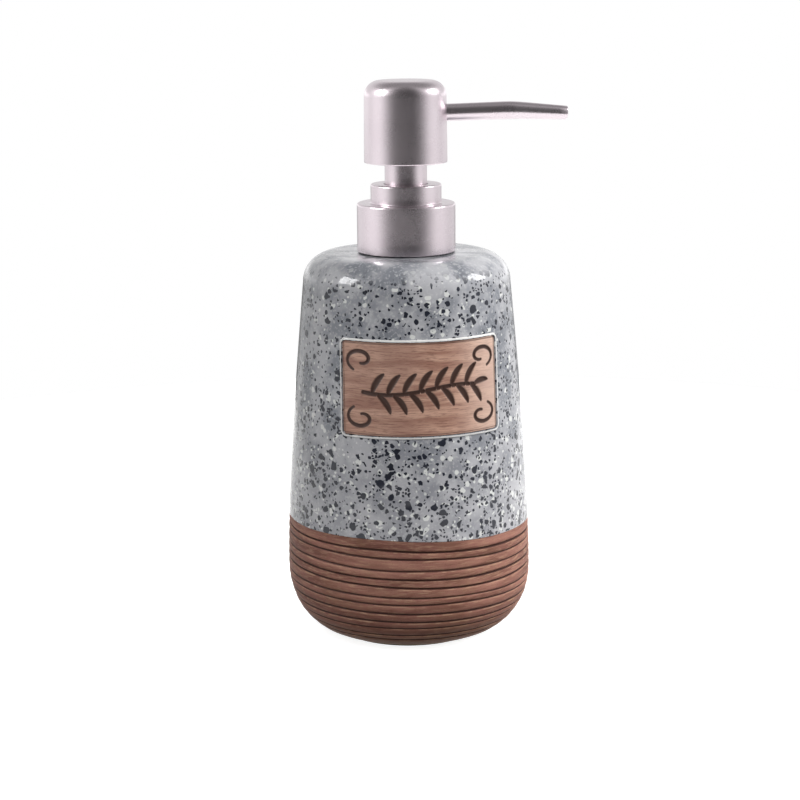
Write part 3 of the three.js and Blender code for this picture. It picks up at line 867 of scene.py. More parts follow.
def wood_tone():
    """Clay coloured like oiled wood, with stain in the carving."""
    wood = Finish("wood tone")
    stain = wood.node("ShaderNodeAttribute", {"attribute_name": "stain"}, {}, "Fac")
    x, y, z = (wood.axis(wood.place, letter) for letter in "XYZ")
    turn = wood.node("ShaderNodeMath", {"operation": "ARCTAN2"}, {0: x, 1: 0 - y})
    place = wood.node("ShaderNodeCombineXYZ", {}, {0: turn * (PLAQUE_R * MM * GRAIN_STRETCH), 2: z})
    sway = wood.cloud(wood.place, 16 * MM, 1.0, output="Color")
    drift = wood.vector("MULTIPLY", sway, (0, 0, 2.5 * MM))
    place = wood.vector("ADD", place, drift)
    broad = wood.cloud(place, 2.6 * MM, 3.0, 0.55)
    fine = wood.cloud(place, 0.42 * MM, 3.0, 0.7)
    patch = wood.cloud(wood.place, 17 * MM, 2.0)

    colour = wood.blend(wood.between(broad, 0.35, 0.62), paint(146, 106, 90), paint(188, 150, 130))
    colour = wood.blend(wood.between(fine, 0.48, 0.62) * 0.6, colour, paint(104, 68, 58))
    colour = wood.blend(wood.between(patch, 0.45, 0.65) * 0.4, colour, paint(130, 90, 78))
    # Paler towards the right-hand end of the plaque: a painted highlight of the light from the right.
    colour = wood.blend(wood.between(turn, 0.15, 0.8) * 0.55, colour, paint(220, 192, 176))
    colour = wood.blend(wood.between(stain, 0.1, 0.8), colour, paint(50, 29, 21))
    return wood.done(
        Base_Color=colour,
        Roughness=0.36 + 0.16 * fine + 0.3 * stain,
        Normal=wood.bump(0.6 * fine + 0.4 * broad, 0.12 * MM),
    )


# %% Cut the plaque
PLAQUE_EDGE = 0.3
FINE_CELL = 0.24

bm = carved(slab(0, -PLAQUE_THICK, 0, PLAQUE_EDGE, FINE_CELL))
settle("carved_plaque", wrap(bm), [wood_tone()], "bottle", "label_plaque")

# %% [markdown]
# ## Finish: satin nickel
# The pump's covers are pressed steel with a satin nickel plate: a warm grey metal, blasted
# before plating so that it glows in broad soft bands. Anisotropy could fake a brushed look,
# but the surface shows no brush lines. A middling roughness with a very fine grain does it,
# and slow changes of roughness stand for handling marks.


# %% Satin nickel
def satin_nickel():
    """Blasted and plated steel."""
    nickel = Finish("satin nickel", Metallic=1.0)
    handled = nickel.cloud(nickel.place, 9 * MM, 3.0)
    grain = nickel.cloud(nickel.place, 0.22 * MM, 2.0)
    drawn = nickel.cloud(nickel.vector("MULTIPLY", nickel.place, (0.15, 0.15, 1)), 0.3 * MM, 2.0)
    colour = nickel.blend(handled, paint(205, 194, 200), paint(215, 205, 210))
    colour = nickel.blend(nickel.between(grain, 0.4, 0.8) * 0.2, colour, paint(190, 178, 186))
    return nickel.done(
        Base_Color=colour,
        Roughness=0.23 + 0.06 * handled + 0.03 * grain,
        Normal=nickel.bump(0.5 * grain + 0.5 * drawn, 0.012 * MM),
    )


nickel_finish = satin_nickel()
print("satin nickel:", len(nickel_finish.node_tree.nodes), "nodes")

# %% [markdown]
# ## The metal collar
# One sheet is pressed into two steps: a wide skirt that hides the threaded nut, and a
# narrower top with a hole for the stem. A press leaves round edges, tight in the
# step's root and softer on its rims, so each corner of the outline gets its own rounding.

# %% Press the collar
COLLAR_R, COLLAR_LOW, COLLAR_TOP = span("collar_shell")
COLLAR_STEP_Z = 143.0
COLLAR_STEP_R = 11.5
STEM_HOLE_R = 7.2
SHEET = 0.5
METAL_STEPS = 128

collar_line = rounded([
    (COLLAR_R, COLLAR_LOW, 0.22),
    (COLLAR_R, COLLAR_STEP_Z, 0.75),
    (COLLAR_STEP_R, COLLAR_STEP_Z, 0.3),
    (COLLAR_STEP_R, COLLAR_TOP, 0.55),
    (STEM_HOLE_R, COLLAR_TOP, 0.2),
    (STEM_HOLE_R, COLLAR_TOP - SHEET, 0.2),
    (COLLAR_STEP_R - SHEET, COLLAR_TOP - SHEET, 0.1),
    (COLLAR_STEP_R - SHEET, COLLAR_STEP_Z - SHEET, 0.1),
    (COLLAR_R - SHEET, COLLAR_STEP_Z - SHEET, 0.3),
    (COLLAR_R - SHEET, COLLAR_LOW, 0.22),
])
settle(
    "collar_cover", turned(collar_line, METAL_STEPS), [nickel_finish],
    "collar", "collar_shell",
)

# %% [markdown]
# ## The head's cover
# The press button is a deep drawn cap: nearly straight sides, a broad round edge and an
# almost flat top. It is spun like the collar. The spout's hole is drilled afterwards,
# as it is in the factory, with a Boolean cut by a cylinder lying along X.

# %% Draw the cap and drill it
HEAD_R, HEAD_LOW, HEAD_TOP = span("head_shell")
HEAD_EDGE = 5.0
HEAD_SHEET = 0.6
CROWN_SAG = 0.24
EDGE_MIDDLE = (8.3, 177.25)
SPOUT_Z = 171.6
SPOUT_HOLE_R = 2.95


def cap_line(inset):
    """The cap from its top centre down to its rim, `inset` under the outer face."""
    edge = arc(EDGE_MIDDLE, (HEAD_EDGE - inset,) * 2, 86, 0, 16)
    reach = edge[0].x
    crown = [Vector((reach * k / 4, HEAD_TOP - inset - CROWN_SAG * (k / 4) ** 2)) for k in range(4)]
    return crown + edge


rim = [(0, 0.3), (0.12, 0.07), (0.3, 0), (0.48, 0.07), (HEAD_SHEET, 0.3)]
head_rim = [Vector((HEAD_R - inset, HEAD_LOW + up)) for inset, up in rim]
head_line = cap_line(0) + head_rim + cap_line(HEAD_SHEET)[::-1]
head = settle(
    "head_cover", turned(head_line, METAL_STEPS), [nickel_finish], "head", "head_shell"
)


def rod(radius, start, stop, height, sides=64):
    """A cylinder along X between two places, to drill with."""
    bm = bmesh.new()
    middle = Matrix.Translation(Vector(((start + stop) / 2, 0, height)) * MM)
    lying = middle @ Matrix.Rotation(math.pi / 2, 4, "Y")
    bmesh.ops.create_cone(
        bm, cap_ends=True, segments=sides, radius1=radius * MM, radius2=radius * MM,
        depth=(stop - start) * MM, matrix=lying,
    )
    return bm


worked(head, "DIFFERENCE", rod(SPOUT_HOLE_R, 10, 16, SPOUT_Z))

# %% [markdown]
# ## The spout
# A thin tube leaves the head level, bends down a little past its middle and narrows to the
# outlet. A curve with a round bevel would make the outside, but not the bore and the lip.
# Here one ring of edges is extruded from station to station: out along the outside, round
# the lip, and back along the bore, so the tube has a real wall.


# %% Sweep a ring along its places
def ring_place(x, z, radius, tilt):
    """Where a round section sits: its middle in the XZ plane, its size and its lean."""
    lying = Matrix.Rotation(math.pi / 2 - tilt, 4, "Y")
    return Matrix.Translation(Vector((x, 0, z)) * MM) @ lying @ Matrix.Scale(radius * MM, 4)


def swept(places, sides):
    """A tube whose round section visits each place in turn and joins up with the first."""
    bm = bmesh.new()
    bmesh.ops.create_circle(bm, cap_ends=False, radius=1, segments=sides, matrix=places[0])
    first = ring = bm.edges[:]
    for before, here in zip(places, places[1:]):
        made = bmesh.ops.extrude_edge_only(bm, edges=ring)["geom"]
        verts = {part for part in made if isinstance(part, bmesh.types.BMVert)}
        bmesh.ops.transform(bm, matrix=here @ before.inverted(), verts=list(verts))
        edges = [part for part in made if isinstance(part, bmesh.types.BMEdge)]
        ring = [e for e in edges if e.verts[0] in verts and e.verts[1] in verts]
    bmesh.ops.bridge_loops(bm, edges=first + ring)
    bmesh.ops.recalc_face_normals(bm, faces=bm.faces)
    return bm


# %% Bend the spout
SPOUT_ROOT = Vector((8.4, SPOUT_Z))
SPOUT_BEND = Vector((35.1, 172.1))
SPOUT_TIP = Vector((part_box("spout_tube")[1].x / MM, 170.9))
LIP = 0.25


def along_spout(root_r, bend_r, tip_r):
    """Places down the tube to its lip, with a soft bend between its two straight legs."""
    into = SPOUT_BEND.lerp(SPOUT_ROOT, 0.14)
    out_of = SPOUT_BEND.lerp(SPOUT_TIP, 0.2)
    knots = (into, into.lerp(SPOUT_BEND, 0.6), out_of.lerp(SPOUT_BEND, 0.6), out_of)
    curve = [Vector(p[:2]) for p in geometry.interpolate_bezier(*knots, 13)]
    end = SPOUT_TIP - (SPOUT_TIP - SPOUT_BEND).normalized() * LIP
    path = [SPOUT_ROOT.lerp(into, k / 4) for k in range(4)] + curve
    path += [out_of.lerp(end, k / 5) for k in range(1, 6)]
    places = []
    for k, point in enumerate(path):
        ahead = path[min(k + 1, len(path) - 1)] - path[max(k - 1, 0)]
        leg = (SPOUT_ROOT, SPOUT_BEND, root_r, bend_r)
        if point.x > SPOUT_BEND.x:
            leg = (SPOUT_BEND, SPOUT_TIP, bend_r, tip_r)
        share = (point.x - leg[0].x) / (leg[1].x - leg[0].x)
        radius = leg[2] + (leg[3] - leg[2]) * share
        places.append(ring_place(point.x, point.y, radius, math.atan2(ahead.y, ahead.x)))
    return places


TIP_LEAN = math.atan2(SPOUT_TIP.y - SPOUT_BEND.y, SPOUT_TIP.x - SPOUT_BEND.x)
outward = along_spout(2.75, 2.87, 2.22)
lip = [
    ring_place(SPOUT_TIP.x - back, SPOUT_TIP.y, radius, TIP_LEAN)
    for back, radius in ((0.07, 2.15), (0, 2.0), (0, 1.56), (0.07, 1.42))
]
homeward = along_spout(1.9, 1.9, 1.36)[::-1]
settle(
    "spout", swept(outward + lip + homeward, 48), [nickel_finish], "head", "spout_tube"
)

# %% [markdown]
# ## The stem's cover
# A short metal tube hides the plastic neck between the head and the collar. It slides
# in the collar's hole with a hair of play, so its radius comes straight from the CAD node.

# %% Turn the stem's cover
SLEEVE_R, SLEEVE_LOW, SLEEVE_TOP = span("stem_sleeve")
SLEEVE_BORE = 6.35

sleeve_line = rounded([
    (SLEEVE_BORE, SLEEVE_LOW, 0.12),
    (SLEEVE_R, SLEEVE_LOW, 0.2),
    (SLEEVE_R, SLEEVE_TOP, 0.12),
    (SLEEVE_BORE, SLEEVE_TOP, 0.12),
])
settle(
    "stem_cover", turned(sleeve_line, 96), [nickel_finish], "head", "stem_sleeve"
)

# %% [markdown]
# ## Finishes: plastics, rubber, steel and glass
# Inside the covers the pump is moulded plastic, with a soft ring, a steel spring and two
# glass balls. They are seen when the pump is unscrewed. One helper makes every plastic:
# a slightly uneven colour, cloudy roughness and the faint orange-peel skin of a moulding.


# %% Moulded plastics
def moulded(name, light, dark, gloss, skin=0.01, **constants):
    """A plastic between two shades, with a gloss of its own and a skin in millimetres."""
    plastic = Finish(name, **constants)
    flow = plastic.cloud(plastic.vector("MULTIPLY", plastic.place, (1, 1, 0.35)), 7 * MM, 3.0)
    peel = plastic.cloud(plastic.place, 0.5 * MM, 2.0)
    return plastic.done(
        Base_Color=plastic.blend(plastic.between(flow, 0.3, 0.7), paint(*dark), paint(*light)),
        Roughness=gloss + 0.12 * flow + 0.05 * peel,
        Normal=plastic.bump(peel, skin * MM),
    )


white_finish = moulded("white plastic", (236, 235, 230), (226, 224, 217), 0.34)
dark_finish = moulded("dark plastic", (46, 46, 49), (32, 32, 35), 0.38, 0.02)
tube_finish = moulded(
    "clear tube", (226, 232, 232), (210, 220, 221), 0.2, Transmission_Weight=0.55, IOR=1.46
)
seal_finish = moulded("soft seal", (206, 210, 214), (186, 192, 198), 0.5, 0.03, Sheen_Weight=0.2)
print("four plastics")

# %% Spring steel and ball glass
steel = Finish("spring steel", Metallic=1.0)
draw_lines = steel.cloud(steel.vector("MULTIPLY", steel.place, (1, 1, 0.2)), 0.12 * MM, 2.0)
steel_finish = steel.done(
    Base_Color=steel.blend(draw_lines, paint(176, 178, 182), paint(206, 208, 211)),
    Roughness=0.2 + 0.12 * draw_lines,
    Normal=steel.bump(draw_lines, 0.01 * MM),
)

ball = Finish("ball glass", Transmission_Weight=0.6, IOR=1.5)
swirl = ball.cloud(ball.place, 1.5 * MM, 2.0)
glass_finish = ball.done(
    Base_Color=ball.blend(swirl, paint(176, 206, 197), paint(205, 226, 219)),
    Roughness=0.05 + 0.06 * swirl,
    Normal=ball.bump(swirl, 0.005 * MM),
)
for finish in (steel_finish, glass_finish):
    print(finish.name, "has", len(finish.node_tree.nodes), "nodes")

# %% [markdown]
# ## Screw threads
# The neck's thread and the nut's thread are ridges wound round a cylinder. `spin` winds them
# too: with `dvec` it climbs a little at each step, which turns a ring into a helix. The
# first and last stretch of each ridge sinks into the wall, as a moulded thread runs out.


# %% Wind a section into a helix
THREAD_PITCH = 4.2
THREAD_STEPS = 48
THREAD_SUNK = 0.3
ROOT_HALF = 0.95
CREST_HALF = 0.45
RUN_OUT = 0.06


def wound(section, turns, pitch, steps_a_turn, start=0.0):
    """A section in the XZ plane wound up round Z, and the turn that each vertex lies at."""
    bm = bmesh.new()
    verts = [bm.verts.new((p[0] * MM, 0, p[1] * MM)) for p in section]
    edges = [bm.edges.new((verts[k - 1], verts[k])) for k in range(len(verts))]
    bmesh.ops.rotate(bm, cent=(0, 0, 0), matrix=Matrix.Rotation(start, 3, "Z"), verts=verts)
    steps = round(turns * steps_a_turn)
    climb = pitch * turns / steps
    bmesh.ops.spin(
        bm, geom=verts + edges, cent=(0, 0, 0), axis=(0, 0, 1), dvec=(0, 0, climb * MM),
        angle=turns * 2 * math.pi, steps=steps, use_merge=False,
    )
    bmesh.ops.holes_fill(bm, edges=bm.edges, sides=0)
    bmesh.ops.recalc_face_normals(bm, faces=bm.faces)
    bm.verts.ensure_lookup_table()
    turn_of = [(k // len(section)) / steps_a_turn for k in range(len(bm.verts))]
    return bm, turn_of


def thread(wall_r, crest_r, z, turns, start):
    """A trapezoid ridge from a wall to its crest, run out at both ends."""
    deep = wall_r - THREAD_SUNK * (1 if crest_r > wall_r else -1)
    section = [
        (deep, z - ROOT_HALF), (crest_r, z - CREST_HALF), (crest_r, z + CREST_HALF), (deep, z + ROOT_HALF),
    ]
    bm, turn_of = wound(section, turns, THREAD_PITCH, THREAD_STEPS, start)
    for vert, turn in zip(bm.verts, turn_of):
        out = min(1, turn / RUN_OUT, (turns - turn) / RUN_OUT)
        radius = math.hypot(vert.co.x, vert.co.y) / MM
        sunk = deep + (radius - deep) * max(out, 0.05)
        vert.co.xy = vert.co.xy * (sunk / radius)
    return bm


# %% The threaded neck
NECK_FLANGE_R, NECK_LOW, NECK_TOP = span("neck_insert")
NECK_SEAT = BOTTLE_TOP + 0.4
NECK_WALL_R = 12.5
NECK_BORE = 10.4
NECK_THREAD_Z = 130
PLUG_R = MOUTH_R - 0.3

neck_line = rounded([
    (NECK_BORE, NECK_LOW, 0.3),
    (PLUG_R, NECK_LOW, 0.5),
    (PLUG_R, NECK_SEAT),
    (NECK_FLANGE_R, NECK_SEAT, 0.2),
    (NECK_FLANGE_R, NECK_SEAT + 1, 0.3),
    (NECK_WALL_R, NECK_SEAT + 1, 0.3),
    (NECK_WALL_R, NECK_TOP, 0.4),
    (NECK_BORE, NECK_TOP, 0.3),
])
neck = settle(
    "threaded_neck", turned(neck_line), [dark_finish], "bottle", "neck_insert"
)
worked(neck, "UNION", thread(NECK_WALL_R, 13.6, NECK_THREAD_Z, 1.5, 0))

# %% The nut in the collar
NUT_R, NUT_LOW, NUT_TOP = span("collar_nut")
NUT_WALL_R = 13.95
NUT_WEB_Z = 140.7
NUT_WEB_R = 10

nut_line = rounded([
    (NUT_WALL_R, NUT_LOW, 0.3),
    (NUT_R, NUT_LOW, 0.3),
    (NUT_R, NUT_TOP, 0.5),
    (NUT_WEB_R, NUT_TOP, 0.2),
    (NUT_WEB_R, NUT_WEB_Z, 0.2),
    (NUT_WALL_R, NUT_WEB_Z, 0.3),
])
nut = settle(
    "closure_nut", turned(nut_line), [white_finish], "collar", "collar_nut"
)
worked(nut, "UNION", thread(NUT_WALL_R, 12.85, NECK_THREAD_Z + THREAD_PITCH / 2, 1.25, -math.pi))

# %% [markdown]
# ## The pump inside
# Below the covers is a common two-valve lotion pump. A cylinder hangs in the neck, closed
# by a guide cup above and open to the dip tube below. All of it is turned, so a list of
# outlines is enough, each with its corners rounded as its mould would leave them.

# %% Cylinder, guide, ring and tube
FLANGE_R, HOUSING_LOW, FLANGE_TOP = span("pump_housing")
housing_line = rounded([
    (5.4, HOUSING_LOW, 0.3), (5.4, 92.2, 0.6), (7, 96.1, 0.6), (7, 127.5, 0.6), (9.8, 129.5, 0.6),
    (9.8, 139.2, 0.2), (FLANGE_R, 139.2, 0.25), (FLANGE_R, FLANGE_TOP, 0.3), (8.4, FLANGE_TOP, 0.3),
    (8.4, 131.2, 0.4), (6, 131.2, 0.4), (6, 97.6, 0.2), (2.1, 97.6, 0.15), (2.1, 96.6, 0.15),
    (3, 96.6, 0.2), (3, 93.6, 0.2), (1.6, 91.6, 0.2), (1.6, 90.2), (4.1, 90.2, 0.2),
    (4.1, HOUSING_LOW, 0.2),
])

GUIDE_R, GUIDE_LOW, GUIDE_TOP = span("guide_cup")
guide_line = rounded([
    (4.25, GUIDE_LOW, 0.2), (8.1, GUIDE_LOW, 0.3), (8.1, 140.7, 0.2), (9.65, 140.7, 0.2),
    (9.65, 142.5, 0.1), (GUIDE_R, 142.5, 0.15), (GUIDE_R, GUIDE_TOP, 0.4), (7.2, GUIDE_TOP, 0.3),
    (7.2, 133, 0.4), (4.25, 133, 0.2),
])

RING_R, RING_LOW, RING_TOP = span("neck_gasket")
ring_line = rounded([
    (10.6, RING_LOW, 0.3), (RING_R, RING_LOW, 0.3), (RING_R, RING_TOP, 0.3), (10.6, RING_TOP, 0.3),
])

TUBE_R, TUBE_LOW, TUBE_TOP = span("dip_tube")
tube_line = rounded([
    (3, TUBE_LOW, 0.05), (TUBE_R, TUBE_LOW, 0.05), (TUBE_R, TUBE_TOP, 0.2), (3, TUBE_TOP, 0.1),
])
tube_bm = turned(tube_line, 64)
TUBE_CUTS = 16
for level in [TUBE_LOW + (TUBE_TOP - TUBE_LOW) * k / TUBE_CUTS for k in range(1, TUBE_CUTS)]:
    whole = tube_bm.verts[:] + tube_bm.edges[:] + tube_bm.faces[:]
    bmesh.ops.bisect_plane(tube_bm, geom=whole, plane_co=(0, 0, level * MM), plane_no=UPRIGHT)
print("cylinder, guide cup, ring and tube drawn")

# %% [markdown]
# ## A slanted end for the tube
# The tube's foot is cut on a slant so that it can't seal itself against the floor.
# `bisect_plane` with its outer side cleared cuts the wall, and the two open loops are bridged.

# %% Cut the tube on a slant
SLANT = math.radians(25)
slant_out = Vector((-math.sin(SLANT), 0, -math.cos(SLANT)))
lowest = Vector((TUBE_R, 0, TUBE_LOW)) * MM
whole = tube_bm.verts[:] + tube_bm.edges[:] + tube_bm.faces[:]
bmesh.ops.bisect_plane(tube_bm, geom=whole, plane_co=lowest, plane_no=slant_out, clear_outer=True)
bmesh.ops.bridge_loops(tube_bm, edges=[e for e in tube_bm.edges if e.is_boundary])
bmesh.ops.recalc_face_normals(tube_bm, faces=tube_bm.faces)
settle("suction_tube", tube_bm, [tube_finish], "pump_body", "dip_tube")

# %% Settle the turned inner pieces
settle("pump_cylinder", turned(housing_line), [white_finish], "pump_body", "pump_housing")
settle("stem_guide", turned(guide_line), [white_finish], "pump_body", "guide_cup")
settle("sealing_ring", turned(ring_line), [seal_finish], "pump_body", "neck_gasket")

# %% [markdown]
# ## The moving column
# Pressing the head pushes a hollow stem, and at its foot a plunger with a two-lipped seal
# slides in the cylinder. The seal's lips flare out to the wall and are thin at their rims.

# %% Stem, plunger and seal
STEM_R, STEM_LOW, STEM_TOP = span("pump_stem")
stem_line = rounded([
    (1.6, STEM_LOW, 0.1), (STEM_R, STEM_LOW, 0.2), (STEM_R, STEM_TOP, 0.3), (2.7, STEM_TOP, 0.2),
    (2.7, 162.6, 0.2), (1.6, 161.2, 0.2),
])
settle("hollow_stem", turned(stem_line, 64), [white_finish], "head", "pump_stem")

PLUNGER_R, PLUNGER_LOW, PLUNGER_TOP = span("piston")
plunger_line = rounded([
    (1.6, PLUNGER_LOW, 0.1), (PLUNGER_R, PLUNGER_LOW, 0.25), (PLUNGER_R, 124.2, 0.2), (4.9, 124.2, 0.1),
    (4.9, 129.4, 0.1), (PLUNGER_R, 129.4, 0.2), (PLUNGER_R, PLUNGER_TOP, 0.3), (4.1, PLUNGER_TOP, 0.2),
    (4.1, 124.2, 0.1), (1.6, 124.2, 0.1),
])
settle("plunger", turned(plunger_line, 64), [white_finish], "head", "piston")

SEAL_R, SEAL_LOW, SEAL_TOP = span("piston_seal")
seal_line = rounded([
    (5.05, SEAL_LOW, 0.1), (SEAL_R, SEAL_LOW, 0.15), (SEAL_R, SEAL_LOW + 0.8, 0.2),
    (5.5, SEAL_LOW + 1.6, 0.4), (5.5, SEAL_TOP - 1.6, 0.4),
    (SEAL_R, SEAL_TOP - 0.8, 0.2), (SEAL_R, SEAL_TOP, 0.15), (5.05, SEAL_TOP, 0.1),
])
settle("plunger_seal", turned(seal_line, 64), [seal_finish], "head", "piston_seal")

# %% [markdown]
# ## The moulding in the head
# A plastic core fills the metal cap. Its bore grips the stem, and a channel turns
# the soap sideways into the spout. The two cuts along X are drilled as in the cap.

# %% Mould and drill the core
CORE_R, CORE_LOW, CORE_TOP = span("head_core")
CHANNEL_R = 1.7
core_line = [Vector((0, SPOUT_Z + CHANNEL_R))] + rounded([
    (CHANNEL_R, SPOUT_Z), (CHANNEL_R, 165.9, 0.1), (4.2, 165.9, 0.2), (4.2, CORE_LOW, 0.2),
    (6.05, CORE_LOW, 0.3), (6.05, 161.9, 0.2), (CORE_R, 161.9, 0.4), (CORE_R, CORE_TOP - 2, 0.5),
    (CORE_R - 2, CORE_TOP, 0.5), (0, CORE_TOP), (0, SPOUT_Z + CHANNEL_R),
])
core = settle(
    "head_moulding", turned(core_line[:-1]), [white_finish], "head", "head_core"
)
worked(core, "DIFFERENCE", rod(CHANNEL_R, 0, 14, SPOUT_Z, 40))
worked(core, "DIFFERENCE", rod(3.0, 8.1, 14, SPOUT_Z))

# %% [markdown]
# ## The spring
# The return spring has one closed turn at each end and open turns between. It is wound with
# an even pitch first. Then each ring of the wire is lifted to its own height, which
# opens the middle. It stands under the head and shortens as the head is pressed.

# %% Wind the spring
SPRING_LOW, SPRING_TOP = (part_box("return_spring")[k].z / MM for k in (0, 1))
SPRING_R = 4.6
WIRE_R = 0.4
SPRING_TURNS = 9
CLOSED_PITCH = 2 * WIRE_R + 0.1

wire = arc((SPRING_R, SPRING_LOW + WIRE_R), (WIRE_R, WIRE_R), 0, 324, 9)
bm, turn_of = wound(wire, SPRING_TURNS, CLOSED_PITCH, 40)
open_turns = SPRING_TURNS - 2
lift_a_turn = (SPRING_TOP - SPRING_LOW - 2 * WIRE_R - SPRING_TURNS * CLOSED_PITCH) / open_turns
for vert, turn in zip(bm.verts, turn_of):
    vert.co.z += lift_a_turn * min(max(turn - 1, 0), open_turns) * MM
spring = settle("coil_spring", bm, [steel_finish], "spring", "return_spring")
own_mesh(spring)

# %% [markdown]
# ## The two balls
# A glass ball sits in a cone at the foot of the cylinder and another at the top of the stem.
# Each lifts to let soap up and drops to stop it. An icosphere has no pinched poles.


# %% Drop in the balls
def valve_ball(name, node, body):
    """A glass ball where its CAD node lies."""
    radius, low, high = span(node)
    bm = bmesh.new()
    middle = Matrix.Translation((0, 0, (low + high) / 2 * MM))
    bmesh.ops.create_icosphere(bm, subdivisions=4, radius=radius * MM, matrix=middle)
    return settle(name, bm, [glass_finish], body, node)


valve_ball("lower_ball", "inlet_ball", "foot_valve")
valve_ball("upper_ball", "outlet_ball", "delivery_valve")

# %% [markdown]
# ## Floor and camera
# The object stands on a plain white floor. The camera is a long lens a little above it,
# turned a few degrees towards the left side and leaning by half a degree, and its shift keeps
# the bottle a touch right of the middle. The floor lies a tenth of a millimetre low, so that
# it doesn't share a plane with the foot, and it glows faintly, as lit acrylic does.

# %% Floor
FLOOR_R = 0.42
FLOOR_DROP = 0.1 * MM
floor_bm = bmesh.new()
bmesh.ops.create_circle(floor_bm, cap_ends=True, radius=FLOOR_R, segments=96)
bmesh.ops.translate(floor_bm, vec=(0, 0, -FLOOR_DROP), verts=floor_bm.verts)
floor_data = bpy.data.meshes.new("floor")
floor_bm.to_mesh(floor_data)
floor_bm.free()
floor = bpy.data.objects.new("floor", floor_data)
bpy.context.collection.objects.link(floor)
floor.visible_diffuse = False
paper = Finish("white acrylic", Roughness=0.9, Emission_Color=(1, 1, 1, 1), Emission_Strength=0.86)
floor_data.materials.append(paper.done(
    Base_Color=paper.blend(paper.cloud(paper.place, 0.05), (0.5, 0.5, 0.5, 1), (0.52, 0.52, 0.51, 1)),
))

# %% Camera
CAMERA_AWAY = 0.66
CAMERA_UP = 0.22
CAMERA_ROUND = math.radians(-8)
CAMERA_DOWN = math.radians(12.2)
CAMERA_LEAN = math.radians(-0.47)
LENS_LENGTH = 91.7
LENS_SHIFT = -0.0096

lens = bpy.data.cameras.new("camera")
lens.lens = LENS_LENGTH
lens.sensor_width = 36
lens.shift_x = LENS_SHIFT
camera = bpy.data.objects.new("camera", lens)
bpy.context.collection.objects.link(camera)
stand = Matrix.Translation((
    math.sin(CAMERA_ROUND) * CAMERA_AWAY, -math.cos(CAMERA_ROUND) * CAMERA_AWAY, CAMERA_UP,
))
camera.matrix_world = (
    stand @ Matrix.Rotation(CAMERA_ROUND, 4, "Z") @ Matrix.Rotation(math.pi / 2 - CAMERA_DOWN, 4, "X")
    @ Matrix.Rotation(CAMERA_LEAN, 4, "Z")
)
bpy.context.scene.camera = camera
print("camera at", [round(c, 3) for c in camera.location])

# %% [markdown]
# ## Studio light
# Satin metal and glossy glaze show their surroundings, while matt clay shows only how much
# light falls on it. So the studio has both kinds of light, as real ones have black and white
# cards as well as lamps. Two raised soft boxes are made for the gloss: they mirror in the
# shoulder and in the cap's round edge. A key on the right, a weaker fill in front and another
# behind are made for the matt surfaces, and the gloss doesn't mirror them.


# %% Soft boxes
AIM = Vector((0, 0, 0.11))


def soft_box(name, azimuth, elevation, away, size, radiance, matt, gloss):
    """A rectangular light that faces the bottle's shoulder; azimuth 0 is the plaque's side."""
    box_data = bpy.data.lights.new(name, "AREA")
    box_data.shape = "RECTANGLE"
    box_data.size, box_data.size_y = size
    box_data.energy = radiance * math.pi * size[0] * size[1]
    box = bpy.data.objects.new(name, box_data)
    bpy.context.collection.objects.link(box)
    turn, rise = math.radians(azimuth), math.radians(elevation)
    level = math.cos(rise)
    direction = Vector((math.sin(turn) * level, -math.cos(turn) * level, math.sin(rise)))
    facing = direction.to_track_quat("Z", "Y").to_matrix().to_4x4()
    box.matrix_world = Matrix.Translation(AIM + direction * away) @ facing
    box.visible_camera = False
    box.visible_diffuse = matt
    box.visible_glossy = gloss


soft_box("left gloss", -85, 31, 1.1, (0.34, 0.42), 13.5, matt=False, gloss=True)
soft_box("right gloss", 85, 31, 1.1, (0.32, 0.36), 13.0, matt=False, gloss=True)
soft_box("right key", 86, 22, 1.2, (1.0, 1.0), 7.4, matt=True, gloss=False)
soft_box("back fill", 172, 16, 1.2, (1.0, 1.0), 4.0, matt=True, gloss=False)
soft_box("front fill", -25, 34, 1.2, (1.0, 1.0), 3.8, matt=True, gloss=False)

# %% [markdown]
# ## The studio's walls
# The world stands for the room. Seen directly it is plain white. In a mirror it is a light
# tent with its front left open: dark in front, bright at the sides and a little less behind.
# Two more things show in the metal and the glaze: a bright strip at eye level in the two
# back corners, and a dark gap low down in the middle of the back. Overhead the tent is dim.
# Smooth steps in the direction's own coordinates draw it all without noise.

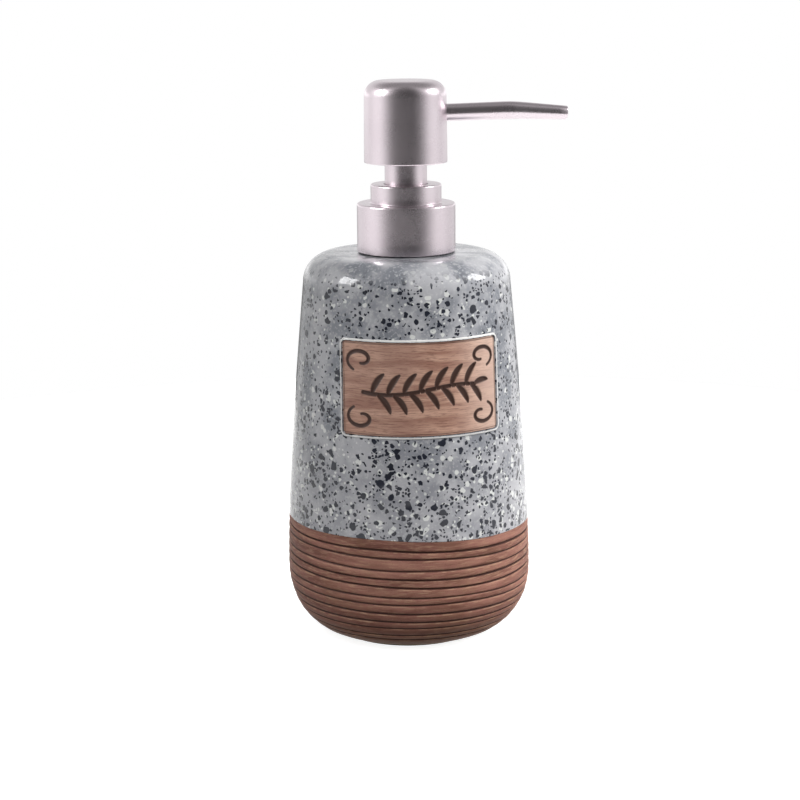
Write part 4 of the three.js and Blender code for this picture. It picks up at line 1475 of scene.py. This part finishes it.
# %% Which way a ray looks
world = bpy.data.worlds.new("studio")
bpy.context.scene.world = world
world.use_nodes = True
world.node_tree.nodes.clear()
tent = Graph(world.node_tree)
ray = tent.node("ShaderNodeTexCoord", output="Generated")
level_ray = tent.vector("NORMALIZE", tent.vector("MULTIPLY", ray, (1, 1, 0)))
toward = (math.sin(CAMERA_ROUND), -math.cos(CAMERA_ROUND), 0)
frontness = tent.node(
    "ShaderNodeVectorMath", {"operation": "DOT_PRODUCT"}, {0: level_ray, 1: toward}, "Value"
)
backness = 0 - frontness
height = tent.axis(ray, "Z")
print("the tent faces", round(math.degrees(CAMERA_ROUND)), "degrees round")

# %% The tent's walls
SIDE_LEVEL = 1.2
FRONT_DIP = 1.1
BACK_DIP = 0.25
CORNER_GLOW = 0.8
BACK_GAP = 0.75

walls = SIDE_LEVEL - 0.06 * tent.axis(level_ray, "X") - FRONT_DIP * tent.between(frontness, 0.2, 0.95)
walls = walls - BACK_DIP * tent.between(backness, 0.0, 0.6)
corners = tent.between(backness, 0.4, 0.6) * (1 - tent.between(backness, 0.93, 0.99))
level_strip = tent.between(height, -0.1, 0.04) * (1 - tent.between(height, 0.08, 0.16))
walls = walls + CORNER_GLOW * corners * level_strip
low_back = tent.between(backness, 0.84, 0.99) * (1 - tent.between(height, -0.14, -0.07))
walls = walls - BACK_GAP * low_back
print("walls between", round(SIDE_LEVEL - FRONT_DIP, 2), "and", SIDE_LEVEL)

# %% Overhead, and who sees what
OVERHEAD_LEVEL = 0.35
MATT_LEVEL = 0.08

overhead = tent.between(height - 0.3 * tent.between(frontness, -0.2, 0.6), 0.42, 0.85)
mirrored = walls * (1 - overhead) + OVERHEAD_LEVEL * overhead
paths = tent.node("ShaderNodeLightPath", output="Is Camera Ray")
glossy = tent.node("ShaderNodeLightPath", output="Is Glossy Ray")
level = glossy * mirrored + (1 - glossy) * (MATT_LEVEL + (1 - MATT_LEVEL) * paths)
white_sky = tent.node("ShaderNodeBackground", {}, {"Color": (1, 1, 1, 1), "Strength": level})
tent.node("ShaderNodeOutputWorld", {}, {"Surface": white_sky})
bpy.context.scene.view_settings.view_transform = "Standard"
print("lit by five soft boxes and a light tent")
